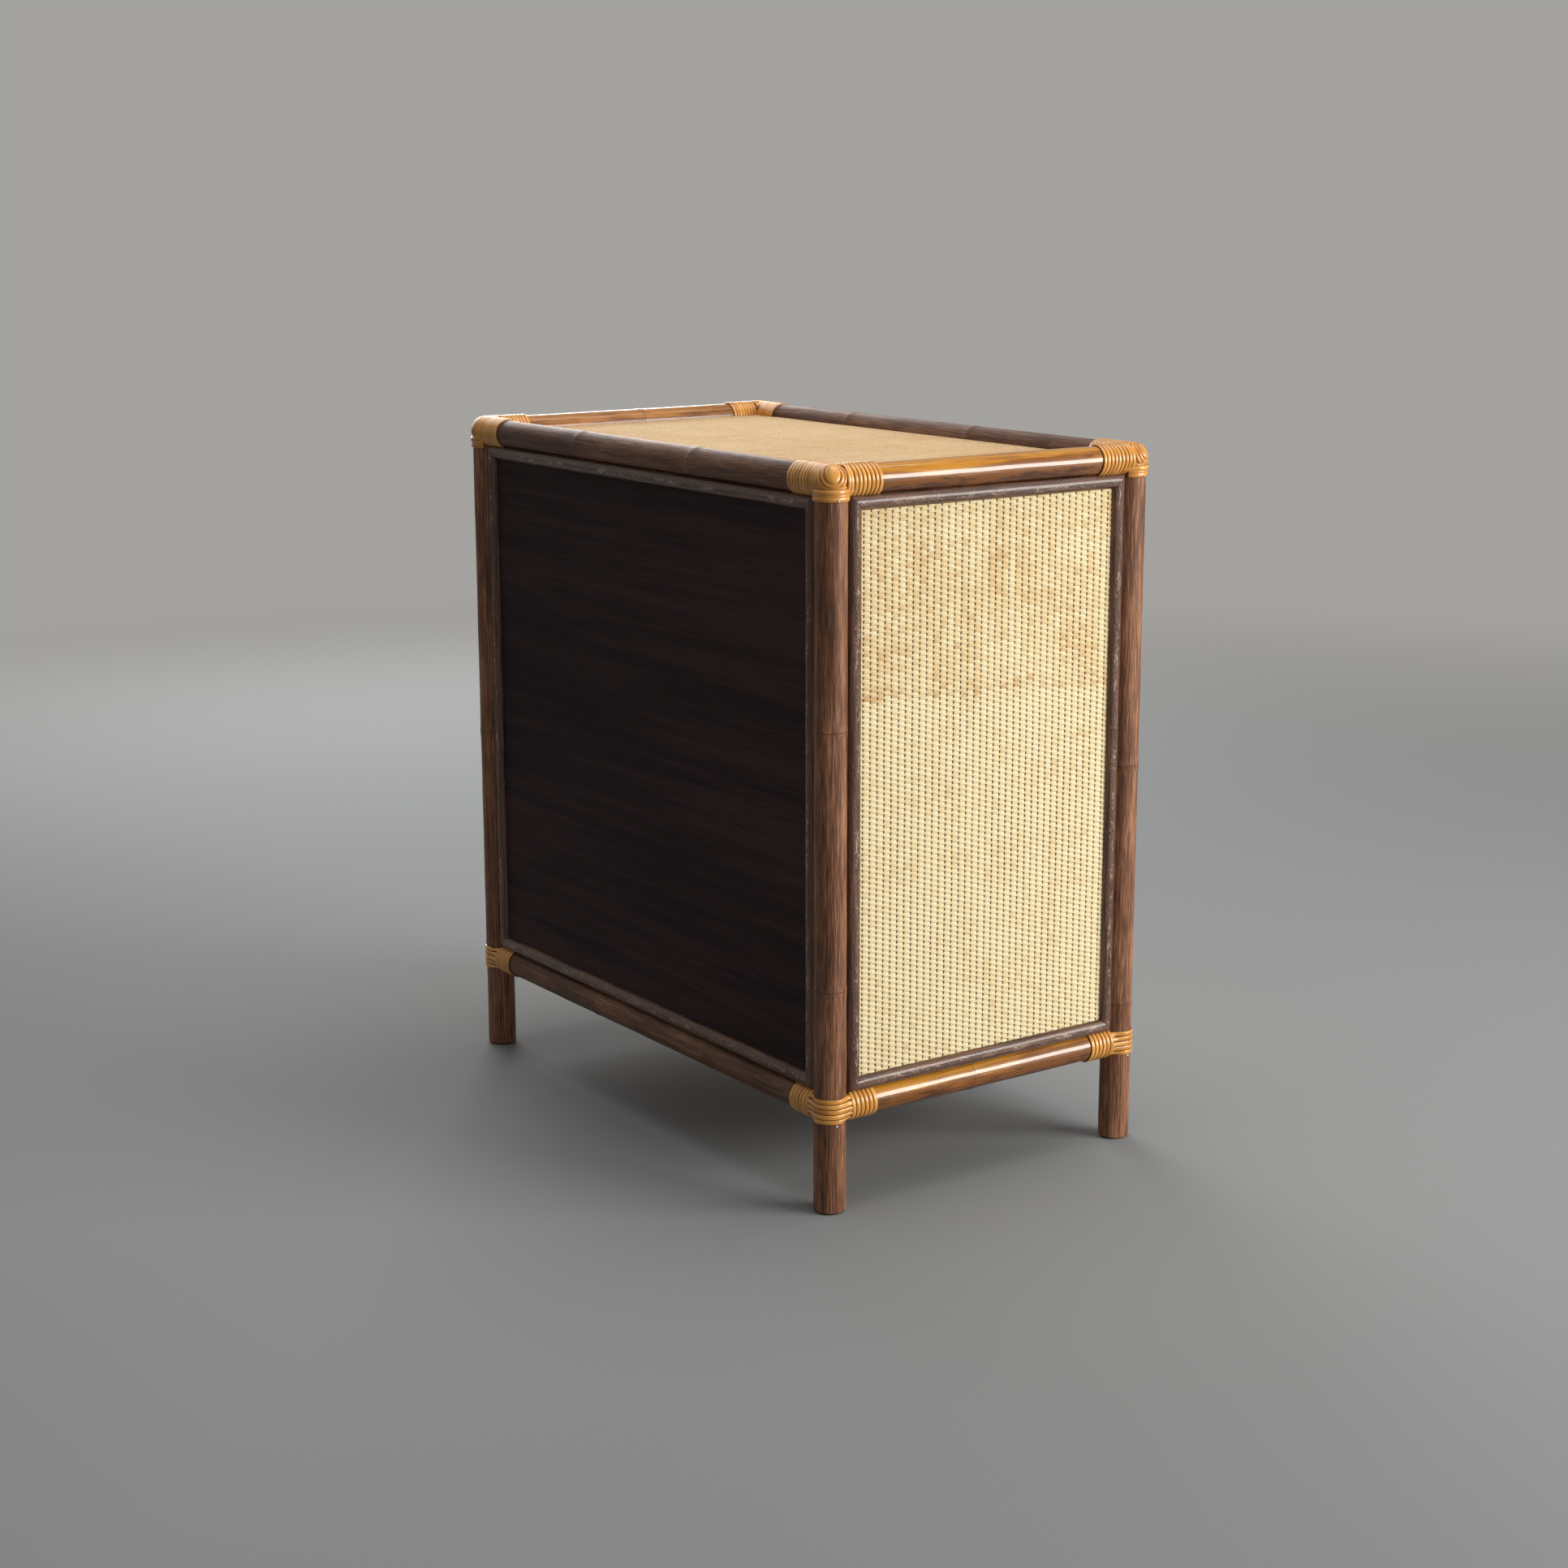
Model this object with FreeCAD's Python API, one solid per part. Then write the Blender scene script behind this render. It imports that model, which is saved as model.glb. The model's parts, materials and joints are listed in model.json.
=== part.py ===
import FreeCAD, Part
import math
import os

# Storage side table with a door: a frame of round poles, bound at every corner with
# flat strand, closed by woven end panels, a plain back and a hinged front door, with
# a woven top set down between the upper rails.
#
# Millimetres, +Z up.  The origin is on the floor, midway between the four posts.
# The front, with the door, faces -Y.  The ends face -X (left) and +X (right).

V = FreeCAD.Vector
UP = V(0, 0, 1)
ORIGIN = V(0, 0, 0)

# ---------------------------------------------------------------- driving dimensions
HEIGHT = 600.0              # floor to the top of the corner caps
SPAN_X = 536.0              # post axis to post axis along the front
SPAN_Y = 304.0              # post axis to post axis from front to back
LEG = 87.0                  # floor to the axis of the lower rails

POST_D = 26.0               # corner post
POST_FOOT = 2.0             # chamfer round the foot
POST_CROWN = 6.0            # chamfer round the head of a post
CAP_STEPS = ((0.0, 0.0), (0.25, 0.65), (1.0, 1.0))      # a cap's narrowing and its rise
RAIL_D = 24.0               # rail

STRAND_T = 1.2              # thickness of the binding strand
COIL_TOP = 27.0             # length of an upper coil along its rail
COIL_BOTTOM = 25.2          # length of a lower coil along its rail
COIL_RIBS_TOP = 4           # raised ribs on a coil, each of about two turns
COIL_RIBS_BOTTOM = 3
CAP_RIBS = 3                # ribs round the outside of a post, upper joint
CAP_SKIRT = 21.0            # length of post that they cover
BAND_RIBS = 3               # ribs round the outside of a post, lower joint
BAND_MARGIN = 0.6           # they end this far below the beading over the lower rails
JAMB_MARGIN = 2.0           # the skirt of a cap ends this far inside the post's outline
STRAND_CROWN = 0.5          # how far a rib rises in its middle
STRAND_FLATS = 12           # flats that a turn of strand makes round a pole

PANEL_T = 6.0               # end and back boards
PANEL_OUT = 4.0             # outer face of a board, out from the plane of the post axes
WEBBING_T = 1.3             # woven webbing on the ends and the door
BEAD_W = 12.0               # half-round beading
BEAD_H = 5.0

DOOR_T = 12.0               # door board
DOOR_GAP = 3.0              # between the door's edges and what stands beside them
DOOR_HEADROOM = 2.4         # between the door and the bound rails above and below it
DOOR_BEAD_INSET = 3.0       # beading set in from the edge of the door
DOOR_STOP_GAP = 0.8         # between the back of the door and its stops

JAMB_W = 20.0               # front batten across the opening
JAMB_PROUD = 7.0            # front batten, out from the plane of the post axes
BATTEN = 20.0               # inner side of the corner battens, from the post axis
CLEAT = 14.0                # square cleats under the top and the shelf

TOP_RISE = 1.2              # woven top, above the axis of the upper rails
TOP_MESH_T = 1.0
FLOOR_T = 9.0
SHELF_T = 12.0
SHELF_Z = 330.0             # upper face of the shelf
SHELF_SETBACK = 16.0        # front edge of the shelf, in from the plane of the post axes

HINGE_LEAF_T = 1.2
HINGE_LEAF_W = 13.0         # from the pin's axis to the far edge of a leaf
HINGE_H = 50.0
HINGE_BARREL_D = 6.0
HINGE_PIN_D = 3.2
HINGE_INSET = 62.0          # hinge middle, in from the top or foot of the door

KNOB_D = 22.0
KNOB_L = 17.0               # knob, out from the webbing
KNOB_INSET = 36.0           # knob axis, in from the door's free edge
KNOB_FLATS = 20             # facets round the knob
KNOB_FLANGE_D = 15.0
KNOB_FLANGE_T = 1.7
KNOB_NECK_D = 9.0
KNOB_NECK_OUT = 5.1         # narrowest place of the neck, out from the webbing
KNOB_HEAD = ((0.9, 0.6), (1.0, 0.76), (0.8, 0.95), (0.4, 1.0))      # shares of width and length
KNOB_SCREW_D = 4.0
KNOB_SCREW_HEAD_D = 9.0
KNOB_SCREW_HEAD_T = 2.4
KNOB_SCREW_RIM_T = 1.2      # straight side of the screw's head
KNOB_SCREW_CROWN_D = 5.4    # flat on top of the screw's head
KNOB_SCREW_GRIP = 9.0       # screw inside the knob

CATCH_H = 40.0
CATCH_W = 14.0
CATCH_DEPTH = 15.0
CATCH_DROP = 60.0           # top of the catch, below the underside of the top board
CATCH_CHAMFER = 1.2
MAGNET_H = 28.0
MAGNET_W = 8.0
MAGNET_DEPTH = 5.0
STRIKE_T = 0.5
STRIKE_MARGIN = 3.0         # strike plate past the magnet, all round

FIT = 0.3                   # clearance round curved faces and between boards
PIN_FIT = 0.05              # radial clearance of the hinge pin
BORE_FIT = 0.1              # radial clearance of the knob's screw

# ------------------------------------------------------------------ derived sizes
POST_R = POST_D / 2
RAIL_R = RAIL_D / 2
POST_BORE = POST_R + FIT                       # whatever fits round a post
RAIL_BORE = RAIL_R + FIT                       # whatever fits round a rail
POST_WRAP = POST_BORE + STRAND_T + STRAND_CROWN
RAIL_WRAP = RAIL_BORE + STRAND_T + STRAND_CROWN

TOP_RAIL_Z = HEIGHT - RAIL_WRAP                # upper coils reach the top of the caps
RAIL_LEVELS = {"top": TOP_RAIL_Z, "bottom": LEG}
COIL_LENGTH = {"top": COIL_TOP, "bottom": COIL_BOTTOM}
COIL_RIBS = {"top": COIL_RIBS_TOP, "bottom": COIL_RIBS_BOTTOM}
COIL_START = POST_WRAP + FIT                   # coils begin beside the wrapped post
POST_TOP = HEIGHT - STRAND_T - STRAND_CROWN - FIT

PANEL_IN = PANEL_T - PANEL_OUT                 # inner face of a board, in from the axes
PANEL_FOOT = LEG + RAIL_WRAP + FIT
PANEL_HEAD = TOP_RAIL_Z - RAIL_WRAP - FIT
WEBBING_OUT = PANEL_OUT + WEBBING_T

TOP_BOARD_UPPER = TOP_RAIL_Z + TOP_RISE - TOP_MESH_T
TOP_BOARD_UNDER = PANEL_HEAD                   # the board fills the height over its cleats
FLOOR_UNDER = PANEL_FOOT                       # the floor lies on the bound lower rails
FLOOR_UPPER = FLOOR_UNDER + FLOOR_T

JAMB_IN = PANEL_IN + JAMB_W                    # jamb face towards the opening, from the axis
DOOR_FOOT = LEG + RAIL_WRAP + DOOR_HEADROOM
DOOR_HEAD = TOP_RAIL_Z - RAIL_WRAP - DOOR_HEADROOM
DOOR_HALF = SPAN_X / 2 - JAMB_IN - DOOR_GAP    # half the door's width
DOOR_BACK = DOOR_T - PANEL_OUT                 # back of the door, in from the axes
STOP_FACE = DOOR_BACK + DOOR_STOP_GAP          # everything that the door closes against

HINGE_R = HINGE_BARREL_D / 2
PIVOT_X = SPAN_X / 2 - JAMB_IN - DOOR_GAP / 2  # the pin stands over the middle of the gap
PIVOT_Y = -SPAN_Y / 2 - JAMB_PROUD - HINGE_R - FIT

WALLS = {"front": 0.0, "right": 90.0, "back": 180.0, "left": 270.0}
CORNERS = {
    "front_left": (-1, -1),
    "front_right": (1, -1),
    "back_left": (-1, 1),
    "back_right": (1, 1),
}


# ------------------------------------------------------------------------ helpers
def box(x0, x1, y0, y1, z0, z1):
    """A block between two values on each axis."""
    return Part.makeBox(x1 - x0, y1 - y0, z1 - z0, V(x0, y0, z0))


def rod(radius, start, axis, length):
    """A round bar."""
    return Part.makeCylinder(radius, length, start, axis)


def revolved(edges, start, axis):
    """A closed outline of edges turned once round an axis."""
    return Part.Face(Part.Wire(edges)).revolve(start, axis, 360)


def outline(points):
    """Straight edges through the points and back to the first."""
    return Part.makePolygon(points + points[:1]).Edges


def flat_face(points):
    """A flat face with its corners at the points."""
    return Part.Face(Part.Wire(outline(points)))


def prism(points, direction):
    """A flat outline pushed along a direction."""
    return flat_face(points).extrude(direction)


def ring(radius, z, flats):
    """Corners of a polygon round the Z axis whose flats lie that far out."""
    corner = radius / math.cos(math.pi / flats)
    angles = [(i + 0.5) * 2 * math.pi / flats for i in range(flats)]
    return [V(corner * math.cos(a), corner * math.sin(a), z) for a in angles]


def wound(levels, flats=STRAND_FLATS):
    """A many-sided solid of flat faces, through rings given as radius and height."""
    rings = [ring(radius, z, flats) for radius, z in levels]
    faces = [flat_face(rings[0]), flat_face(rings[-1])]
    for low, high in zip(rings, rings[1:]):
        for i in range(flats):
            faces.append(flat_face([low[i - 1], low[i], high[i], high[i - 1]]))
    return Part.makeSolid(Part.makeShell(faces))


def room_round(radius, length):
    """The room that a wound sleeve needs, along +Z from the origin."""
    return wound([(radius, 0), (radius, length)])


def along_x(shape, x, z):
    """A shape drawn up the Z axis, laid along +X from a place at that height."""
    laid = shape.copy()
    laid.rotate(ORIGIN, V(0, 1, 0), 90)
    laid.translate(V(x, 0, z))
    return laid


def span(wall):
    """Post axis to post axis along a wall."""
    return SPAN_X if wall in ("front", "back") else SPAN_Y


def on_wall(shape, wall):
    """Place a shape drawn on the wall's own axes: X along it, -Y outwards, post axes at Y 0."""
    depth = SPAN_Y if wall in ("front", "back") else SPAN_X
    placed = shape.copy()
    placed.translate(V(0, -depth / 2, 0))
    placed.rotate(ORIGIN, UP, WALLS[wall])
    return placed


def at_corner(shape, corner):
    """Place a shape drawn round a post axis at the origin, with the table towards +X and +Y."""
    side_x, side_y = CORNERS[corner]
    placed = shape.copy()
    if side_x > 0:
        placed = placed.mirror(ORIGIN, V(1, 0, 0))
    if side_y > 0:
        placed = placed.mirror(ORIGIN, V(0, 1, 0))
    placed.translate(V(side_x * SPAN_X / 2, side_y * SPAN_Y / 2, 0))
    return placed


def clear_of(radius, offset):
    """How far from a pole's axis a flat strip has to stay, when it lies offset out from it."""
    return math.sqrt(radius**2 - offset**2) + FIT


def coil_room(wall, level):
    """The room that the coils at both ends of one of a wall's rails need."""
    start = -span(wall) / 2 + COIL_START - FIT
    room = room_round(RAIL_WRAP + FIT, COIL_LENGTH[level] + 2 * FIT)
    left = along_x(room, start, RAIL_LEVELS[level])
    return left.fuse(left.mirror(ORIGIN, V(1, 0, 0)))


# --------------------------------------------------------------------------- frame
def post():
    """A corner post, with a chamfered foot and head."""
    points = [
        V(0, 0, 0),
        V(POST_R - POST_FOOT, 0, 0),
        V(POST_R, 0, POST_FOOT),
        V(POST_R, 0, POST_TOP - POST_CROWN),
        V(POST_R - POST_CROWN, 0, POST_TOP),
        V(0, 0, POST_TOP),
    ]
    return revolved(outline(points), ORIGIN, UP)


def rail(wall, level):
    """A rail between two posts: coped to fit round them, and mitred to the rails next to it."""
    half = span(wall) / 2
    z = RAIL_LEVELS[level]
    bar = rod(RAIL_R, V(-half, 0, z), V(1, 0, 0), 2 * half)
    cope = rod(POST_BORE, V(-half, 0, z - RAIL_D), UP, 2 * RAIL_D)
    apex = V(-half + FIT, 0, z - RAIL_D)
    mitre = prism([apex, apex + V(RAIL_D, RAIL_D, 0), apex + V(0, RAIL_D, 0)], V(0, 0, 2 * RAIL_D))
    for cutter in (cope, mitre):
        bar = bar.cut([cutter, cutter.mirror(ORIGIN, V(1, 0, 0))])
    return on_wall(bar, wall)


# ------------------------------------------------------------------------ bindings
def ribs(bore, count, length, foot=0.0):
    """Radius and height of the valleys and crests of strands wound side by side."""
    valley = bore + STRAND_T
    pitch = length / count
    turns = [(valley, foot)]
    for turn in range(count):
        turns.append((valley + STRAND_CROWN, foot + (turn + 0.5) * pitch))
        turns.append((valley, foot + (turn + 1) * pitch))
    return turns


def coils(level):
    """The coils round the two rails that meet at a corner, from beside the post inwards."""
    length = COIL_LENGTH[level]
    sleeve = wound(ribs(RAIL_BORE, COIL_RIBS[level], length)).cut(room_round(RAIL_BORE, length))
    first = along_x(sleeve, COIL_START, RAIL_LEVELS[level])
    return [first, first.mirror(ORIGIN, V(1, -1, 0))]


def rail_room(level):
    """The room that the two rails of a corner, and what lies between them, need by the post."""
    z = RAIL_LEVELS[level]
    reach = POST_WRAP + FIT
    first = along_x(room_round(RAIL_BORE, reach), 0, z)
    inside = box(0, reach, 0, reach, z - 2 * RAIL_D, POST_TOP)
    return [first, first.mirror(ORIGIN, V(1, -1, 0)), inside]


def lower_band():
    """Rows of strand that pass round the outside of a post from one lower rail to the other."""
    width = 2 * (clear_of(RAIL_R, WEBBING_OUT) - BAND_MARGIN)
    band = wound(ribs(POST_BORE, BAND_RIBS, width)).cut(room_round(POST_BORE, width))
    band.translate(V(0, 0, LEG - width / 2))
    return band.cut(rail_room("bottom"))


def upper_cap():
    """Rows of strand round the outside of a post, closed over its head by a rounded cap."""
    shoulder = POST_TOP - POST_CROWN
    foot = shoulder - CAP_SKIRT
    outside = ribs(POST_BORE, CAP_RIBS, CAP_SKIRT, foot)
    inside = [(POST_BORE, foot)]
    for narrowing, rise in CAP_STEPS:
        drop = narrowing * POST_CROWN
        inside.append((POST_BORE - drop, shoulder + rise * (POST_CROWN + FIT)))
        if rise > 0:
            outside.append((POST_BORE + STRAND_T - drop, shoulder + rise * (HEIGHT - shoulder)))
    cap = wound(outside).cut(wound(inside))
    # Below the rails the rows stop short of the boards and beading beside the post.
    side = POST_R - JAMB_MARGIN
    far = 2 * POST_D
    below = TOP_RAIL_Z - clear_of(RAIL_R, WEBBING_OUT) + FIT
    past_x = box(side, far, -far, far, 0, below)
    past_y = box(-far, far, side, far, 0, below)
    return cap.cut(rail_room("top") + [past_x, past_y])


# -------------------------------------------------------------------------- panels
def wall_board(wall):
    """A board between two posts and two rails."""
    half = span(wall) / 2 - POST_BORE
    board = box(-half, half, -PANEL_OUT, PANEL_IN, PANEL_FOOT, PANEL_HEAD)
    return on_wall(board, wall)


def webbing(half, foot, head):
    """Woven webbing on a board's outer face."""
    return box(-half, half, -WEBBING_OUT, -PANEL_OUT, foot, head)


def bead_section(face):
    """Half-round section: its flat back on a face that lies that far out, its width along Z."""
    left = V(0, -face, 0)
    crest = V(0, -face - BEAD_H, BEAD_W / 2)
    right = V(0, -face, BEAD_W)
    return Part.Face(Part.Wire([Part.Arc(left, crest, right).toShape(), Part.makeLine(right, left)]))


def beading(half, foot, head, face):
    """Four mitred lengths of half-round round a panel's edge."""
    strips = []
    middle = (foot + head) / 2
    gap = FIT / 2
    for turn, reach, rise in ((0, half, middle - foot), (90, middle - foot, half)):
        bar = bead_section(face).extrude(V(2 * reach, 0, 0))
        bar.translate(V(-reach, 0, -rise))
        mitred = prism(
            [
                V(-reach + gap, 0, -rise),
                V(reach - gap, 0, -rise),
                V(reach - BEAD_W - gap, 0, -rise + BEAD_W),
                V(-reach + BEAD_W + gap, 0, -rise + BEAD_W),
            ],
            V(0, -2 * (face + BEAD_H), 0),
        )
        strip = bar.common(mitred)
        for half_turn in (0, 180):
            placed = strip.copy()
            placed.rotate(ORIGIN, V(0, 1, 0), turn + half_turn)
            placed.translate(V(0, 0, middle))
            strips.append(placed)
    return strips


def wall_beading(wall, face):
    """Beading snug against the posts and rails of a wall, and relieved round the coils."""
    half = span(wall) / 2 - clear_of(POST_R, face)
    foot = LEG + clear_of(RAIL_R, face)
    head = TOP_RAIL_Z - clear_of(RAIL_R, face)
    rooms = [coil_room(wall, level) for level in RAIL_LEVELS]
    strips = [strip.cut(rooms) for strip in beading(half, foot, head, face)]
    return on_wall(Part.makeCompound(strips), wall)


def end_webbing(wall):
    """Webbing over an end board."""
    half = span(wall) / 2 - POST_BORE
    return on_wall(webbing(half, PANEL_FOOT, PANEL_HEAD), wall)


# --------------------------------------------------------------------- inner frame
def corner_batten(corner):
    """An upright inside a corner, hollowed to lie against the post."""
    front = CORNERS[corner][1] < 0
    reach_x = JAMB_IN if front else BATTEN
    out_y = -JAMB_PROUD if front else PANEL_IN
    block = box(PANEL_IN, reach_x, out_y, BATTEN, PANEL_FOOT, PANEL_HEAD)
    cove = rod(POST_BORE, ORIGIN, UP, HEIGHT)
    return at_corner(block.cut(cove), corner)


def batten_room(corner, foot, head):
    """The notch that a board needs round a corner's upright."""
    reach_x = JAMB_IN if CORNERS[corner][1] < 0 else BATTEN
    return at_corner(box(-POST_R, reach_x + FIT, -POST_R, BATTEN + FIT, foot, head), corner)


def top_cleats():
    """Cleats under the top board on all four sides; the front one also stops the door."""
    low = TOP_BOARD_UNDER - CLEAT
    across = SPAN_X / 2 - BATTEN - FIT
    behind_door = SPAN_X / 2 - JAMB_IN - FIT
    deep = SPAN_Y / 2 - BATTEN - FIT
    back = box(-across, across, PANEL_IN, PANEL_IN + CLEAT, low, TOP_BOARD_UNDER)
    front = box(-behind_door, behind_door, STOP_FACE, STOP_FACE + CLEAT, low, TOP_BOARD_UNDER)
    side = box(-deep, deep, PANEL_IN, PANEL_IN + CLEAT, low, TOP_BOARD_UNDER)
    placed = [on_wall(back, "back"), on_wall(front, "front")]
    placed += [on_wall(side, wall) for wall in ("left", "right")]
    return Part.makeCompound(placed)


def shelf_cleats():
    """The two cleats that carry the shelf."""
    deep = SPAN_Y / 2 - BATTEN - FIT
    head = SHELF_Z - SHELF_T
    side = box(-deep, deep, PANEL_IN, PANEL_IN + CLEAT, head - CLEAT, head)
    return Part.makeCompound([on_wall(side, wall) for wall in ("left", "right")])


def inner_board(front_edge, foot, head):
    """A level board inside the walls, notched round the corner uprights."""
    half_x = SPAN_X / 2 - PANEL_IN - FIT
    back = SPAN_Y / 2 - PANEL_IN - FIT
    board = box(-half_x, half_x, -SPAN_Y / 2 + front_edge, back, foot, head)
    return board.cut([batten_room(corner, foot, head) for corner in CORNERS])


# ----------------------------------------------------------------------------- top
def top_layer(foot, head):
    """A level layer between the upper rails, cut round the posts and the coils."""
    half_x = SPAN_X / 2 - RAIL_BORE
    half_y = SPAN_Y / 2 - RAIL_BORE
    layer = box(-half_x, half_x, -half_y, half_y, foot, head)
    posts = [at_corner(room_round(POST_WRAP + FIT, HEIGHT), corner) for corner in CORNERS]
    rooms = [on_wall(coil_room(wall, "top"), wall) for wall in WALLS]
    return layer.cut(posts + rooms)


# ---------------------------------------------------------------------------- door
def door_panel():
    """The door's board, bored for the knob's screw."""
    board = box(-DOOR_HALF, DOOR_HALF, -PANEL_OUT, DOOR_BACK, DOOR_FOOT, DOOR_HEAD)
    return on_wall(board.cut(knob_bore()), "front")


def knob_place():
    """Where the knob's axis meets the plane of the post axes, on the front wall's own axes."""
    return V(-DOOR_HALF + KNOB_INSET, 0, (DOOR_FOOT + DOOR_HEAD) / 2)


def knob_bore():
    """The hole through the door for the knob's screw."""
    start = knob_place() + V(0, -2 * WEBBING_OUT, 0)
    return rod(KNOB_SCREW_D / 2 + BORE_FIT, start, V(0, 1, 0), 2 * WEBBING_OUT + 2 * DOOR_T)


def door_webbing():
    """Webbing over the door's board."""
    inset = DOOR_BEAD_INSET
    sheet = webbing(DOOR_HALF - inset, DOOR_FOOT + inset, DOOR_HEAD - inset)
    return on_wall(sheet.cut(knob_bore()), "front")


def door_beading():
    """Beading near the edge of the door."""
    inset = DOOR_BEAD_INSET
    strips = beading(DOOR_HALF - inset, DOOR_FOOT + inset, DOOR_HEAD - inset, WEBBING_OUT)
    return on_wall(Part.makeCompound(strips), "front")


def knob():
    """A turned knob: flange, waist and domed head, bored from behind for its screw."""
    profile = [(KNOB_FLANGE_D, 0), (KNOB_FLANGE_D, KNOB_FLANGE_T), (KNOB_NECK_D, KNOB_NECK_OUT)]
    profile += [(width * KNOB_D, out * KNOB_L) for width, out in KNOB_HEAD]
    turned = wound([(width / 2, out) for width, out in profile], KNOB_FLATS)
    turned = turned.cut(rod(KNOB_SCREW_D / 2 + BORE_FIT, ORIGIN, UP, KNOB_SCREW_GRIP + FIT))
    turned.rotate(ORIGIN, V(1, 0, 0), 90)
    turned.translate(knob_place() + V(0, -WEBBING_OUT, 0))
    return on_wall(turned, "front")


def knob_screw():
    """The screw that holds the knob from inside the door."""
    shank = KNOB_SCREW_D / 2
    head = KNOB_SCREW_HEAD_D / 2
    tip = -(DOOR_T + WEBBING_T + KNOB_SCREW_GRIP)
    crown = (KNOB_SCREW_CROWN_D / 2, KNOB_SCREW_HEAD_T)
    screw = wound([(shank, tip), (shank, 0), (head, 0), (head, KNOB_SCREW_RIM_T), crown])
    screw.rotate(ORIGIN, V(1, 0, 0), -90)
    screw.translate(knob_place() + V(0, DOOR_BACK, 0))
    return on_wall(screw, "front")


# ------------------------------------------------------------------------- hinges
def hinge_levels():
    """The height of the foot of each hinge."""
    return [DOOR_FOOT + HINGE_INSET - HINGE_H / 2, DOOR_HEAD - HINGE_INSET - HINGE_H / 2]


def knuckle(fixed):
    """The half of the barrel that belongs to a leaf: the door's rests on the jamb's."""
    if fixed:
        return 0, HINGE_H / 2 - FIT / 2
    return HINGE_H / 2 + FIT / 2, HINGE_H


def hinge_leaf(fixed):
    """One leaf with its knuckle, the pin's axis at the origin and the door's side at -X."""
    outer = DOOR_GAP / 2
    side = 1 if fixed else -1
    edges = sorted((side * outer, side * (outer - HINGE_LEAF_T)))
    leaf = box(edges[0], edges[1], 0, HINGE_LEAF_W, 0, HINGE_H)
    foot, head = knuckle(not fixed)
    leaf = leaf.cut(rod(HINGE_R + FIT, V(0, 0, foot - FIT), UP, head - foot + 2 * FIT))
    foot, head = knuckle(fixed)
    leaf = leaf.fuse(rod(HINGE_R, V(0, 0, foot), UP, head - foot))
    return leaf.cut(rod(HINGE_PIN_D / 2 + PIN_FIT, ORIGIN, UP, HINGE_H)).removeSplitter()


def hinge_pin():
    """The pin, flush with both ends of the barrel."""
    return rod(HINGE_PIN_D / 2, ORIGIN, UP, HINGE_H)


def on_pivot(shape):
    """The same hinge piece at the height of each hinge."""
    placed = []
    for level in hinge_levels():
        piece = shape.copy()
        piece.translate(V(PIVOT_X, PIVOT_Y, level))
        placed.append(piece)
    return Part.makeCompound(placed)


# -------------------------------------------------------------------------- catch
def catch_middle():
    """Height of the middle of the catch."""
    return TOP_BOARD_UNDER - CATCH_DROP - CATCH_H / 2


def magnet_block(proud):
    """The magnet, or with no proud part the pocket that holds it, beside the left jamb."""
    middle = -SPAN_X / 2 + JAMB_IN + CATCH_W / 2
    z = catch_middle()
    face = STOP_FACE - proud
    return box(
        middle - MAGNET_W / 2,
        middle + MAGNET_W / 2,
        face,
        STOP_FACE + MAGNET_DEPTH,
        z - MAGNET_H / 2,
        z + MAGNET_H / 2,
    )


def catch_case():
    """The catch's case, screwed to the side of the left jamb."""
    left = -SPAN_X / 2 + JAMB_IN
    z = catch_middle()
    case = box(left, left + CATCH_W, STOP_FACE, STOP_FACE + CATCH_DEPTH, z - CATCH_H / 2, z + CATCH_H / 2)
    free_edges = [e for e in case.Edges if e.BoundBox.XMin > left + FIT and e.BoundBox.ZLength > FIT]
    case = case.makeChamfer(CATCH_CHAMFER, free_edges)
    return on_wall(case.cut(magnet_block(0)), "front")


def catch_magnet():
    """The magnet in its pocket, a hair proud of the case."""
    return on_wall(magnet_block(FIT / 2), "front")


def catch_strike():
    """The steel plate on the back of the door that the magnet holds."""
    middle = -SPAN_X / 2 + JAMB_IN + CATCH_W / 2
    left = max(middle - MAGNET_W / 2 - STRIKE_MARGIN, -DOOR_HALF + FIT)
    z = catch_middle()
    half_h = MAGNET_H / 2 + STRIKE_MARGIN
    right = middle + MAGNET_W / 2 + STRIKE_MARGIN
    plate = box(left, right, DOOR_BACK, DOOR_BACK + STRIKE_T, z - half_h, z + half_h)
    return on_wall(plate, "front")


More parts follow.
